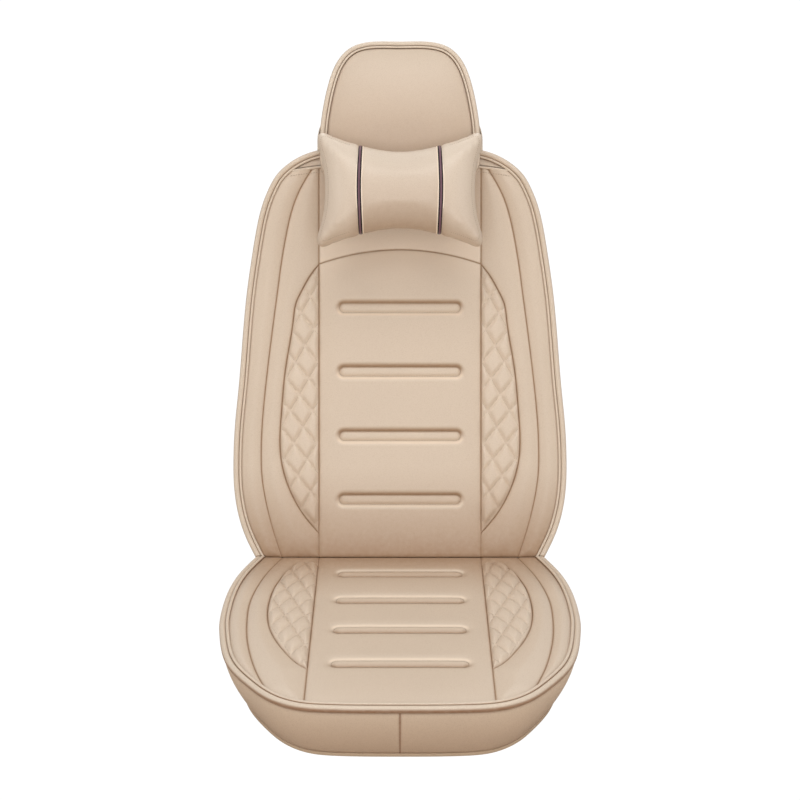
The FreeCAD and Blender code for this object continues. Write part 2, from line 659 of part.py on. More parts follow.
def skirt_inside_at(y, z):
    """Half width between the skirt's inner faces at y and z."""
    top = SEAT_FRAME.multVec(Vector(0, y, -size["panel_thick"] - size["seam_gap"])).z
    foot = size["hem_height"] - size["hem_level"]
    share = (top - z) / (top - foot)
    inset = size["wall_inset"] + size["wall_thick"] + share * size["skirt_taper"]
    edge = edge_curve(SEAT_EDGE, size["seat_half_width"] - inset, size["seat_length"] - inset, -1)
    return x_on(edge, y)


def build_buckle():
    """Webbing row under the cushion with its side-release buckle.

    The webbing runs through the plug's bar, so the plug slides along it out of the socket.
    """
    gap, run = size["seam_gap"], size["running_gap"]
    row = -size["web_row"]
    half = size["web_width"] / 2
    web_top = "-Sizes.web_level"
    centre_z = -size["web_level"] - size["web_thick"] / 2
    web_foot = -size["web_level"] - size["web_thick"]
    end = min(skirt_inside_at(row + way * half, web_foot) for way in (-1, 1)) - gap

    # The socket's mouth faces right; the webbing lies in its left end.
    socket_len, wall = size["socket_length"], size["socket_wall"]
    socket_half, prong = size["socket_width"] / 2, size["prong_length"]
    mouth = socket_len / 2
    socket = new_body("buckle_socket", WORLD_FRAME)
    middle = f"{centre_z}"
    add_pad(socket, rectangle(-mouth, mouth, row - socket_half, row + socket_half),
            f"{middle} + Sizes.socket_thick / 2", "Sizes.socket_thick")
    hollow = size["plug_thick"] / 2 + run
    reach = socket_half - wall
    add_cut(socket, rectangle(row - reach, row + reach, centre_z - hollow, centre_z + hollow),
            "Sizes.socket_length / 2", "Sizes.prong_length + 2 * Sizes.running_gap",
            "YZ_Plane")
    window_low, window_high = mouth - prong + wall, mouth - prong / 2
    for sign in (-1, 1):
        near, edge = row + sign * (reach - wall), row + sign * (socket_half + wall)
        add_cut(socket, rectangle(window_low, window_high, min(near, edge), max(near, edge)))
    web_room = size["web_thick"] / 2 + run
    add_cut(socket, rectangle(row - half - run, row + half + run, centre_z - web_room,
                              centre_z + web_room),
            f"{-mouth} + Sizes.plug_length / 2", "Sizes.plug_length / 2 + 1", "YZ_Plane")

    plug_start = mouth + run
    plug_end = plug_start + size["plug_length"]
    tip = mouth - prong
    arm = size["prong_width"]
    outer = reach - run
    plug = new_body("buckle_plug", WORLD_FRAME)
    add_pad(plug, polygon(
        (plug_end, row - socket_half), (plug_end, row + socket_half),
        (plug_start, row + socket_half), (plug_start, row + outer - wall),
        (tip + 2 * arm, row + outer - wall), (tip + arm, row + outer),
        (tip, row + outer - arm / 2), (tip, row + outer - wall - arm / 2),
        (plug_start, row + outer - wall - arm), (plug_start, row - outer + wall + arm),
        (tip, row - outer + wall + arm / 2), (tip, row - outer + arm / 2),
        (tip + arm, row - outer), (tip + 2 * arm, row - outer + wall),
        (plug_start, row - outer + wall), (plug_start, row - socket_half)),
        f"{middle} + Sizes.plug_thick / 2", "Sizes.plug_thick")
    add_cut(plug, rectangle(row - half - run, row + half + run, centre_z - web_room,
                            centre_z + web_room),
            role="YZ_Plane")

    web_seat = size["plug_length"] / 2
    lengths = {"left": (-end, -mouth + web_seat - run), "right": (plug_start + wall + run, end)}
    for word, (low, high) in lengths.items():
        web = new_body(f"under_strap_{word}", WORLD_FRAME)
        add_pad(web, rectangle(low, high, row - half, row + half), web_top, "Sizes.web_thick")


# ---------------------------------------------------------------- headrest cover
def head_outline(inset):
    """Closed outline of the headrest cover, drawn in by inset."""
    half = size["head_half_width"] - inset
    low, top = size["head_low"] + inset, size["head_high"] - inset
    radius = size["head_corner"] - inset
    rise = size["head_high"] - size["head_low"] - 2 * inset
    side = [Vector(w * half, low + share * rise, 0) for w, share in HEAD_EDGE]
    side[-1] = Vector(0, top, 0)
    lower = Vector(half, low + radius, 0)
    over = spline(mirrored([lower] + side))
    diagonal = radius * (1 - math.sqrt(0.5))
    left_arc = Part.Arc(Vector(-half, low + radius, 0),
                        Vector(-half + diagonal, low + diagonal, 0),
                        Vector(-half + radius, low, 0))
    right_arc = Part.Arc(Vector(half - radius, low, 0),
                         Vector(half - diagonal, low + diagonal, 0), lower)
    return [over, left_arc,
            Part.LineSegment(left_arc.EndPoint, right_arc.StartPoint), right_arc]


def head_ring(inset, width):
    """Closed strip that follows the headrest cover's outline."""
    return head_outline(inset) + head_outline(inset + width)


def build_headrest():
    """Headrest cover with its closing flap."""
    gap = size["seam_gap"]
    welt, inner_welt = size["head_welt_width"], size["head_inner_welt"]
    face = "Sizes.head_front"
    front = new_body("headrest_front_panel", BACK_FRAME)
    add_pad(front, head_outline(welt + inner_welt + 2 * gap), face, "Sizes.panel_thick")
    for name, inset, width in (("outer", 0, welt), ("inner", welt + gap, inner_welt)):
        ring = new_body(f"headrest_welt_{name}", BACK_FRAME)
        add_pad(ring, head_ring(inset, width), f"{face} + Sizes.head_welt_crown",
                "Sizes.panel_thick + Sizes.head_welt_crown")

    wall = new_body("headrest_gusset", BACK_FRAME)
    behind = "Sizes.head_front - Sizes.panel_thick - Sizes.seam_gap"
    add_pad(wall, head_ring(size["wall_inset"], size["wall_thick"]), behind,
            f"{behind} + Sizes.head_rear - Sizes.wall_thick - Sizes.seam_gap")
    chin = size["chin_height"]
    add_cut(wall, rectangle(-REACH, REACH, 0, chin), "Sizes.chin_front",
            "Sizes.chin_front + Sizes.head_rear + Sizes.wall_thick")
    flap_half = size["head_flap_half"]
    low = size["head_low"]
    add_cut(wall, rectangle(-flap_half - gap, flap_half + gap, 0,
                            low + size["wall_inset"] + size["wall_thick"] + gap))

    rear = new_body("headrest_rear_panel", BACK_FRAME)
    add_pad(rear, head_outline(size["wall_inset"]), "-(Sizes.head_rear - Sizes.wall_thick)",
            "Sizes.wall_thick")
    add_cut(rear, rectangle(-REACH, REACH, 0, chin))

    flap_low = low + size["wall_inset"]
    flap = new_body("headrest_flap", BACK_FRAME)
    add_pad(flap, rectangle(-flap_half, flap_half, flap_low, flap_low + size["wall_thick"]),
            behind, f"{behind} - Sizes.chin_front")


# ---------------------------------------------------------------- neck pillow
def pillow_curve(inset):
    """Closed smooth outline of the pillow, drawn in by inset."""
    half, tall = size["pillow_half_width"] - inset, size["pillow_half_height"] - inset
    quarter = [Vector(w * half, share * tall, 0) for w, share in PILLOW_EDGE]
    right = quarter + [Vector(p.x, -p.y, 0) for p in reversed(quarter[:-1])]
    whole = right + [Vector(-p.x, p.y, 0) for p in reversed(right[1:-1])]
    curve = Part.BSplineCurve()
    curve.interpolate(Points=whole, PeriodicFlag=True)
    return curve


def pillow_half_height_at(x, inset):
    """Half height of the pillow at x, found by halving where the outline runs outwards."""
    curve = pillow_curve(inset)
    low, high = curve.FirstParameter, curve.parameter(Vector(size["pillow_half_width"] - inset,
                                                             size["pillow_half_height"], 0))
    for _ in range(50):
        middle = (low + high) / 2
        if curve.value(middle).x < x:
            low = middle
        else:
            high = middle
    return curve.value(low).y


def build_pillow():
    """Pillow shell in three panels, its filling and its two piping cords."""
    gap = size["seam_gap"]
    wall = size["pillow_wall"]
    height = Vector(0, size["pillow_height"], 0)
    frame = BACK_FRAME.multiply(Placement(height, Rotation()))
    front = "Sizes.pillow_rear + Sizes.pillow_thick"
    seam, cord = size["pillow_seam"], size["pillow_cord"]
    near, far = seam - cord / 2 - gap, seam + cord / 2 + gap
    far_side = 2 * size["pillow_half_width"]
    keeps = {
        "left": [rectangle(-far, far_side, -far_side, far_side)],
        "centre": [rectangle(near, far_side, -far_side, far_side),
                   rectangle(-far_side, -near, -far_side, far_side)],
        "right": [rectangle(-far_side, far, -far_side, far_side)],
    }
    for word, cuts in keeps.items():
        shell = new_body(f"pillow_shell_{word}", frame)
        add_pad(shell, [pillow_curve(0)], front, "Sizes.pillow_thick")
        add_cut(shell, [pillow_curve(wall)], f"{front} - Sizes.pillow_wall",
                "Sizes.pillow_thick - 2 * Sizes.pillow_wall")
        for region in cuts:
            add_cut(shell, region)

    filling = new_body("pillow_filling", frame)
    add_pad(filling, [pillow_curve(wall + gap)], f"{front} - Sizes.pillow_wall - Sizes.seam_gap",
            "Sizes.pillow_thick - 2 * Sizes.pillow_wall - 2 * Sizes.seam_gap")

    proud = size["pillow_cord_proud"]
    outer = pillow_half_height_at(seam, 0) + proud
    inner = pillow_half_height_at(far, wall)
    for word, side in SIDES.items():
        x = side * seam
        low, high = x - cord / 2, x + cord / 2
        ring = new_body(f"pillow_cord_{word}", frame)
        add_pad(ring, rectangle(low, high, -outer, outer), f"{front} + Sizes.pillow_cord_proud",
                "Sizes.pillow_thick + 2 * Sizes.pillow_cord_proud")
        add_cut(ring, rectangle(low - gap, high + gap, -inner, inner),
                f"{front} - Sizes.pillow_wall",
                "Sizes.pillow_thick - 2 * Sizes.pillow_wall")


def build_band():
    """Elastic band that holds the pillow to the headrest, and its slider."""
    width, thick = size["band_width"], size["web_thick"]
    side_x = size["band_side"]
    front_low, rear_low = size["band_front_height"], size["band_rear_height"]
    front_z = size["pillow_rear"] - size["band_setback"]
    rear_z = -size["band_rear"]
    strap = new_body("pillow_band", BACK_FRAME)
    outer = side_x + thick
    add_pad(strap, rectangle(-outer, outer, rear_low, rear_low + width), f"{rear_z}",
            "Sizes.web_thick")
    for side in SIDES.values():
        flank = polygon((front_low, front_z), (front_low + width, front_z),
                        (rear_low + width, rear_z - thick), (rear_low, rear_z - thick))
        top = f"{outer}" if side > 0 else f"{-side_x}"
        add_pad(strap, flank, top, "Sizes.web_thick", "YZ_Plane")
        low, high = sorted((side * outer, side * (side_x - size["band_tab"])))
        add_pad(strap, rectangle(low, high, front_low, front_low + width), f"{front_z}",
                "Sizes.web_thick")

    run, rim = size["running_gap"], size["slider_rim"]
    x = size["slider_offset"]
    half = size["slider_length"] / 2
    slider = new_body("band_slider", BACK_FRAME)
    ring_front = rear_z + run + rim / 2
    ring_depth = thick + 2 * run + rim
    add_pad(slider, rectangle(x - half, x + half, rear_low - rim - run,
                              rear_low + width + rim + run),
            f"{ring_front}", f"{ring_depth}")
    add_cut(slider, rectangle(rear_low - run, rear_low + width + run, rear_z - thick - run,
                              rear_z + run), role="YZ_Plane")


def build_zip():
    """Zip on the pillow's rear, with its slider."""
    frame = BACK_FRAME.multiply(Placement(Vector(0, size["pillow_height"], 0), Rotation()))
    middle = -size["zip_drop"]
    half, width = size["zip_half_length"], size["zip_width"] / 2
    tape = new_body("pillow_zip", frame)
    add_pad(tape, rectangle(-half, half, middle - width, middle + width),
            "Sizes.pillow_rear - Sizes.seam_gap", "Sizes.zip_thick")
    length, across = size["zip_slider_length"], size["zip_slider_width"] / 2
    slider = new_body("zip_slider", frame)
    add_pad(slider, rectangle(-half, -half + length, middle - across, middle + across),
            "Sizes.pillow_rear - 2 * Sizes.seam_gap - Sizes.zip_thick",
            "Sizes.zip_slider_thick")


build_back_face()
build_piping("back", BACK_FRAME, BACK_EDGE, size["back_half_width"], size["back_height"], 1)
build_back_shell()
build_hooks()
build_seat_face()
build_piping("seat", SEAT_FRAME, SEAT_EDGE, size["seat_half_width"], size["seat_length"], -1)
build_skirt()
build_tuck_flap()
build_buckle()
build_headrest()
build_pillow()
build_band()
build_zip()

doc.recompute()
faults = [item.Label for item in doc.Objects if {"Invalid", "Error"} & set(item.State)]
faults += [part.Label for part in subparts
           if part.Shape.isNull() or not part.Shape.isValid() or not part.Shape.Solids]
if faults:
    raise RuntimeError("failed: " + ", ".join(faults))
os.makedirs("parts", exist_ok=True)
for part in subparts:
    part.Shape.exportStep(f"parts/{part.Label}.step")
print(len(subparts), "sub-parts written")
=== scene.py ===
"""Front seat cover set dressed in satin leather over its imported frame.

Sizes inside the classes are millimetres in a cover's own frame: u across, v along the cover from
the bite line where cushion and backrest meet, w out of its face.  Meshes are made in metres.
"""
from __future__ import annotations

import json
import logging
import math
from collections import Counter
from dataclasses import dataclass, field
from enum import Enum
from typing import Callable, Iterable, Iterator, Sequence

import bmesh
import bpy
import numpy as np
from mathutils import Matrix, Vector
from mathutils.bvhtree import BVHTree
from mathutils.geometry import delaunay_2d_cdt

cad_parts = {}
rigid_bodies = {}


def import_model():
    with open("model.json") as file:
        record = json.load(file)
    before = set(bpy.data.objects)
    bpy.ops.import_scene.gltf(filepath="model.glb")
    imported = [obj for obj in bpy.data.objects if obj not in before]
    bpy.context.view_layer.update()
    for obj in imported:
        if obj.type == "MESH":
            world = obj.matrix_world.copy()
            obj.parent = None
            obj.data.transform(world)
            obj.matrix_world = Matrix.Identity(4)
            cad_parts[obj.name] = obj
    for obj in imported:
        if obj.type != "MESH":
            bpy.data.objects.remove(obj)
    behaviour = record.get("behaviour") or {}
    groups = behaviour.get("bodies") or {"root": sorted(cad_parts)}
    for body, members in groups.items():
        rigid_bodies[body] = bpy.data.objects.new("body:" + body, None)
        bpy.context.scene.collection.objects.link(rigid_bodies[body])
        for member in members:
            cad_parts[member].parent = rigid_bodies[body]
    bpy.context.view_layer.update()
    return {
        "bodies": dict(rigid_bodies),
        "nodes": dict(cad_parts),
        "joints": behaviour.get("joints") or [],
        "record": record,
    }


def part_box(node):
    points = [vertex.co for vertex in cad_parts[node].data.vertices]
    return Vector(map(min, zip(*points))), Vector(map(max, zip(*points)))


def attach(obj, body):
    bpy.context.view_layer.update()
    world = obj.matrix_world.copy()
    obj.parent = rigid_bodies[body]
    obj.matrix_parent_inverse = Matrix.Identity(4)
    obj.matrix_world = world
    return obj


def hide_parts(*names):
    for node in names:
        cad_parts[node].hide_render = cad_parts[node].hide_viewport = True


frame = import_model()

log = logging.getLogger("seat_cover_set")
MM = 0.001
TINY = 1e-12
ACROSS, ALONG = (1.0, 0.0, 0.0), (0.0, 1.0, 0.0)
OUT, BEHIND = (0.0, 0.0, 1.0), (0.0, 0.0, -1.0)
RIGHT, LEFT = 1, -1
WHITE = (1.0, 1.0, 1.0, 1.0)
SIDES = {"left": LEFT, "right": RIGHT}
Points = np.ndarray
Node, Socket, Tree = bpy.types.Node, bpy.types.NodeSocket, bpy.types.NodeTree
Law = Callable[[Points, Points], Points]
Knots = Sequence[tuple[float, float]]


# ---------- lines in a cover's face
def run_along(line: Points) -> Points:
    """Distance along a line to each of its points."""
    return np.concatenate([[0], np.cumsum(np.linalg.norm(np.diff(line, axis=0), axis=1))])


def unit(ways: Points) -> Points:
    """Directions of length one."""
    return ways / np.maximum(np.linalg.norm(ways, axis=-1), TINY)[..., None]


def bell(distance: Points, reach: float) -> Points:
    """Share that falls off smoothly on both sides of a line."""
    return np.exp(-(distance / reach) ** 2)


def clamped(share: Points) -> Points:
    """Shares kept from 0 to 1."""
    return np.clip(share, 0, 1)


def wrapped(loop: Points, count: int = 1) -> Points:
    """A closed outline with points of its other end added at both ends."""
    return np.concatenate([loop[-count:], loop, loop[:count]])


def through(points: Knots, step: float = 3.0, closed: bool = False) -> Points:
    """Lay a smooth line through the given points.

    Args:
        points: Corner points of the line.
        step: Distance between the points of the result.
        closed: Whether the line joins up with its start.

    Returns:
        Evenly spaced points, the first one not repeated at the end of a closed line.
    """
    knots = np.array(points, float)
    if closed:
        count = len(knots)
        knots = np.concatenate([knots, knots, knots, knots[:1]])
    run = run_along(knots)
    gaps = np.diff(run)
    size = len(knots)
    matrix, right = np.eye(size), np.zeros((size, 2))
    slopes = np.diff(knots, axis=0) / gaps[:, None]
    for i in range(1, size - 1):
        matrix[i, i - 1:i + 2] = gaps[i - 1], 2 * (gaps[i - 1] + gaps[i]), gaps[i]
        right[i] = 6 * (slopes[i] - slopes[i - 1])
    bend = np.linalg.solve(matrix, right)
    fine = np.linspace(run[0], run[-1], 40 * size)
    part = np.clip(np.searchsorted(run, fine, "right") - 1, 0, size - 2)
    ahead, behind, gap = (run[part + 1] - fine)[:, None], (fine - run[part])[:, None], gaps[part][:, None]
    line = (bend[part] * ahead ** 3 + bend[part + 1] * behind ** 3) / (6 * gap) \
        + (knots[part] / gap - bend[part] * gap / 6) * ahead \
        + (knots[part + 1] / gap - bend[part + 1] * gap / 6) * behind
    if closed:
        keep = (fine >= run[count]) & (fine <= run[2 * count])
        return even(line[keep], step)[:-1]
    return even(line, step)


def even(line: Points, step: float) -> Points:
    """Space the points of a line evenly.

    Args:
        line: Points of the line, in two or three dimensions.
        step: Wanted distance between points.

    Returns:
        The same line with points a step apart, both ends kept.
    """
    run = run_along(line)
    count = max(2, int(round(run[-1] / step)) + 1)
    at = np.linspace(0, run[-1], count)
    return np.stack([np.interp(at, run, line[:, i]) for i in range(line.shape[1])], axis=1)


def straight(start: Sequence[float], end: Sequence[float], step: float = 3.0) -> Points:
    """Points a step apart on the straight line from start to end."""
    return even(np.array([start, end], float), step)


def beside(line: Points, distance: float) -> Points:
    """Move a line sideways, to its left where the distance is positive."""
    along = unit(np.gradient(line, axis=0))
    return line + distance * np.stack([-along[:, 1], along[:, 0]], axis=1)


def stretched(line: Points, start: float = 0, end: float = 0) -> Points:
    """Carry a line on straight beyond its ends.

    Args:
        line: Points of the line.
        start: Length added before its first point.
        end: Length added after its last point.

    Returns:
        The longer line.
    """
    parts = [line]
    if start:
        parts.insert(0, line[:1] + start * unit(line[0] - line[1]))
    if end:
        parts.append(line[-1:] + end * unit(line[-1] - line[-2]))
    return np.concatenate(parts)


def rounded(corners: Sequence[Sequence[float]], radius: float, step: float = 1.0,
            closed: bool = False) -> Points:
    """Line through corners, each turned smoothly.

    Args:
        corners: Corners in two or three dimensions.
        radius: How far from a corner its turn begins.
        step: Distance between the points in a turn.
        closed: Whether the line joins up with its start.

    Returns:
        Points of the line.
    """
    knots = np.array(corners, float)
    count = len(knots)
    parts = [] if closed else [knots[:1]]
    for i in range(0 if closed else 1, count if closed else count - 1):
        before, knot, beyond = knots[i - 1], knots[i], knots[(i + 1) % count]
        start, end = (knot + radius * unit(way - knot) for way in (before, beyond))
        share = np.linspace(0, 1, max(3, int(2 * radius / step) + 1))[:, None]
        parts.append((1 - share) ** 2 * start + 2 * share * (1 - share) * knot + share ** 2 * end)
    if not closed:
        parts.append(knots[-1:])
    return np.concatenate(parts)


def crossing(first: Points, second: Points) -> tuple[int, int, Points]:
    """Find where two lines first meet.

    Args:
        first: The line that is followed.
        second: The line that it crosses.

    Returns:
        The segment of each line, and the meeting point.
    """
    for i, (a, b) in enumerate(zip(first, first[1:])):
        along, other = b - a, np.diff(second, axis=0)
        below = along[0] * other[:, 1] - along[1] * other[:, 0]
        below = np.where(np.abs(below) < TINY, TINY, below)
        gap = second[:-1] - a
        share = (gap[:, 0] * other[:, 1] - gap[:, 1] * other[:, 0]) / below
        away = (gap[:, 0] * along[1] - gap[:, 1] * along[0]) / below
        hit = np.nonzero((share >= 0) & (share <= 1) & (away >= 0) & (away <= 1))[0]
        if len(hit):
            return i, int(hit[0]), a + share[hit[0]] * along
    raise ValueError("the two lines don't meet")


def until(line: Points, other: Points) -> Points:
    """The part of a line before it meets the other, with the meeting point."""
    i, _, point = crossing(line, other)
    return np.concatenate([line[:i + 1], [point]])


def after(line: Points, other: Points) -> Points:
    """The part of a line after it meets the other, with the meeting point."""
    i, _, point = crossing(line, other)
    return np.concatenate([[point], line[i + 1:]])


def loop_of(*lines: Points, step: float = 3.0) -> Points:
    """Join lines end to end into one closed outline.

    Args:
        lines: Lines in order round the outline; a gap between two is closed straight.
        step: Distance between points.

    Returns:
        The outline's points, with each corner kept and none repeated.
    """
    parts = []
    for line, following in zip(lines, lines[1:] + lines[:1]):
        parts.append(even(line, step)[:-1])
        if np.linalg.norm(line[-1] - following[0]) > 0.05:
            parts.append(straight(line[-1], following[0], step)[:-1])
    return np.concatenate(parts)


def flipped(line: Points, side: int) -> Points:
    """A right-hand line as it lies on the given side."""
    return line * np.array([side, 1.0])


def both_sides(half: Points) -> Points:
    """A right-hand line carried on over its mirror image on the left."""
    return np.concatenate([half, flipped(half, LEFT)[::-1][1:]])


def raised(line: Points, height: Points | float) -> Points:
    """A line in the face with a height at each point."""
    return np.column_stack([line, np.broadcast_to(height, len(line))])


def drawn_in(loop: Points, distance: float) -> Points:
    """A closed outline moved to its left side by a distance."""
    return beside(wrapped(loop, 3), distance)[3:-3]


def distance_to(points: Points, lines: Iterable[Points]) -> Points:
    """Measure how far points are from the nearest of some lines.

    Args:
        points: Points in the face.
        lines: Open lines.

    Returns:
        One distance for each point.
    """
    starts = np.concatenate([line[:-1] for line in lines])
    ends = np.concatenate([line[1:] for line in lines])
    along = ends - starts
    length = np.maximum((along ** 2).sum(1), TINY)
    found = []
    for chunk in np.array_split(points, max(1, len(points) // 1500)):
        gap = chunk[:, None, :] - starts[None]
        share = clamped((gap * along[None]).sum(2) / length)
        found.append(np.sqrt(((gap - share[..., None] * along) ** 2).sum(2)).min(1))
    return np.concatenate(found)


def inside(points: Points, loop: Points) -> Points:
    """Mask of the points that lie within a closed outline.

    Args:
        points: Points in the face.
        loop: The outline.

    Returns:
        True for each point that lies within.
    """
    x, y = points[:, 0], points[:, 1]
    odd = np.zeros(len(points), bool)
    for a, b in zip(loop, np.roll(loop, -1, axis=0)):
        spans = (a[1] > y) != (b[1] > y)
        rise = b[1] - a[1] if b[1] != a[1] else TINY
        odd ^= spans & (x < (b[0] - a[0]) * (y - a[1]) / rise + a[0])
    return odd


def ring_closed(loop: Points) -> Points:
    """A closed outline as a line that ends where it starts."""
    return np.concatenate([loop, loop[:1]])


# ---------- frames and meshes
@dataclass(frozen=True)
class CoverFrame:
    """Frame of one cover's face, hinged at the bite line.

    Attributes:
        turn: Degrees that the face turns about the bite line.
        way: 1 where v runs to the rear of the seat, -1 where it runs to the front.
        mitre: Rise of the plane that parts the two covers at the bite line.
    """
    turn: float
    way: int
    mitre: float = 0.713

    def world(self, local: Points) -> Points:
        """Carry points of the face over to the shared frame.

        Args:
            local: Points as u, v and w, in millimetres.

        Returns:
            The points, in metres.
        """
        turn = math.radians(self.turn)
        along, out = self.way * local[..., 1], local[..., 2]
        return MM * np.stack([local[..., 0], along * math.cos(turn) - out * math.sin(turn),
                              along * math.sin(turn) + out * math.cos(turn)], axis=-1)

    def mitred(self, local: Points) -> Points:
        """Points kept on their own cover's side of the plane that parts the covers."""
        along = np.maximum(local[..., 1], self.mitre * local[..., 2])
        return np.stack([local[..., 0], along, local[..., 2]], axis=-1)


BACK = CoverFrame(68, 1)
CUSHION = CoverFrame(-3, -1)
SHARED = CoverFrame(0, 1)


@dataclass
class Blank:
    """Vertices, faces and seam shade of a piece before it becomes an object, the seam shade being painted
    shade and, where negative, painted highlight.
    """
    points: Points
    faces: list
    seam: Points | None = None


def joined(blanks: Sequence[Blank]) -> Blank:
    """Put several blanks together.

    Args:
        blanks: The blanks.

    Returns:
        One blank with all their faces.
    """
    points, faces, seams, base = [], [], [], 0
    for blank in blanks:
        points.append(blank.points)
        faces += [[base + i for i in face] for face in blank.faces]
        seams.append(np.zeros(len(blank.points)) if blank.seam is None else blank.seam)
        base += len(blank.points)
    return Blank(np.concatenate(points), faces, np.concatenate(seams))


def outward_mesh(name: str, blank: Blank) -> bpy.types.Mesh:
    """Make a mesh of a blank.

    Args:
        name: Name of the mesh.
        blank: The blank.

    Returns:
        The mesh, its normals outwards.
    """
    mesh = bpy.data.meshes.new(name)
    mesh.from_pydata([tuple(p) for p in blank.points], [], blank.faces)
    if blank.seam is not None:
        # Seam attribute: dark seam lines with painted shade where positive, painted highlight where
        # negative.
        seam = mesh.attributes.new("seam", "FLOAT", "POINT")
        seam.data.foreach_set("value", blank.seam.astype(np.float32))
    work = bmesh.new()
    work.from_mesh(mesh)
    bmesh.ops.recalc_face_normals(work, faces=work.faces)
    work.to_mesh(mesh)
    work.free()
    return mesh


def shell(grid: Points, thick: float, seam: Points | None = None) -> Blank:
    """Give a grid of points a thickness and close it all round.

    Args:
        grid: Outer surface, rows by columns by 3.
        thick: Thickness, on the side that the rows' and columns' normal looks to if negative.
        seam: Seam shade, rows by columns.

    Returns:
        A closed blank.
    """
    rows, columns = grid.shape[:2]
    normal = unit(np.cross(np.gradient(grid, axis=0), np.gradient(grid, axis=1)))
    points = np.concatenate([grid.reshape(-1, 3), (grid - thick * normal).reshape(-1, 3)])
    half = rows * columns
    number = np.arange(half).reshape(rows, columns)
    faces = []
    for i, j in np.ndindex(rows - 1, columns - 1):
        quad = [int(number[at]) for at in ((i, j), (i, j + 1), (i + 1, j + 1), (i + 1, j))]
        faces += [quad, [half + corner for corner in quad[::-1]]]
    for rim in (number[0], number[-1], number[:, 0], number[:, -1]):
        faces += [[int(a), int(b), half + int(b), half + int(a)] for a, b in zip(rim, rim[1:])]
    shade = np.zeros(half) if seam is None else seam.ravel()
    return Blank(points, faces, np.concatenate([shade, shade]))


def tube(rows: int, columns: int, closed: bool = False, base: int = 0) -> list:
    """Faces between rings of points, capped at both ends unless they join up.

    Args:
        rows: Number of rings.
        columns: Points of a ring.
        closed: Whether the last ring joins up with the first.
        base: Number of the first point.

    Returns:
        The faces.
    """
    faces = []
    for i in range(rows if closed else rows - 1):
        here, there = base + i * columns, base + (i + 1) % rows * columns
        faces += [[here + j, here + (j + 1) % columns, there + (j + 1) % columns, there + j]
                  for j in range(columns)]
    if not closed:
        last = base + (rows - 1) * columns
        faces += [list(range(base, base + columns))[::-1], list(range(last, last + columns))]
    return faces


def sweep(path: Points, ups: Points | Sequence[float], section: Points, closed: bool = False,
          shade: Points | None = None) -> Blank:
    """Carry a cross-section along a path.

    Args:
        path: Points of the path.
        ups: Direction, or one at each point, that the section's second axis follows.
        section: Closed cross-section as (side, up) pairs.
        closed: Whether the path joins up with its start.
        shade: Seam shade at each point of the section.

    Returns:
        A closed blank.
    """
    ends = wrapped(path)
    along = unit(ends[2:] - ends[:-2] if closed else np.gradient(path, axis=0))
    side = unit(np.cross(along, ups))
    up = np.cross(side, along)
    rings = path[:, None] + section[None, :, :1] * side[:, None] + section[None, :, 1:] * up[:, None]
    rows, columns = rings.shape[:2]
    tones = np.zeros(columns) if shade is None else shade
    return Blank(rings.reshape(-1, 3), tube(rows, columns, closed), np.tile(tones, rows))


def box_of(node: str) -> tuple[Points, Points]:
    """Low and high corner of a frame node's box, in millimetres."""
    low, high = (np.array(corner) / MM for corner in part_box(node))
    return low, high


def full_turn(count: int) -> Points:
    """Angles evenly round a circle."""
    return np.linspace(0, 2 * math.pi, count, endpoint=False)


def round_section(radius: float, count: int = 16, flat: float = 1.0) -> Points:
    """Circle, or an oval whose height is flat times its width."""
    turn = full_turn(count)
    return radius * np.stack([np.cos(turn), flat * np.sin(turn)], axis=1)


def strap_section(width: float, thick: float, corner: float = 0.4) -> Points:
    """Cross-section of a flat strap with softened edges.

    Args:
        width: Width of the strap.
        thick: Its thickness.
        corner: Size of its bevels.

    Returns:
        The section as (side, up) pairs.
    """
    half, depth = width / 2, thick / 2
    right = [(0, -depth), (half / 2, -depth), (half - corner, -depth), (half, -depth + corner),
             (half, depth - corner), (half - corner, depth), (half / 2, depth), (0, depth)]
    return np.array(right + [(-x, y) for x, y in right[-2:0:-1]])


@dataclass(kw_only=True)
class SewnPart:
    """A sub-assembly whose pieces share a body and the frame of its face."""
    body: str
    cover: CoverFrame = BACK

    def make(self, name: str, blank: Blank, finish: "Finish", *nodes: str,
             frame: CoverFrame | None = None, **sheet: object) -> bpy.types.Object:
        """Turn a blank into a dressed piece that rides on the body.

        Args:
            name: Name of the piece.
            blank: Its shape, in millimetres.
            finish: Its finish.
            nodes: Frame nodes that it stands for.
            frame: Frame of the blank, where it isn't the part's own.
            sheet: Flat size and hold of a sheet; not used.

        Returns:
            The piece.
        """
        seam = np.zeros(len(blank.points)) if blank.seam is None else blank.seam
        mesh = outward_mesh(name, Blank((frame or self.cover).world(blank.points), blank.faces, seam))
        mesh.polygons.foreach_set("use_smooth", [True] * len(mesh.polygons))
        mesh.update()
        piece = bpy.data.objects.new(name, mesh)
        bpy.context.collection.objects.link(piece)
        piece.data.materials.append(finish.material())
        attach(piece, self.body)
        if nodes:
            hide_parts(*nodes)
        log.info("%s: %d faces, %s", name, len(mesh.polygons), finish.name)
        return piece


# ---------- finishes
class Surface(Enum):
    """Kinds of surface on the set."""
    LEATHER = "leather"
    WEBBING = "webbing"
    SPONGE = "sponge"
    PLASTIC = "plastic"
    METAL = "metal"


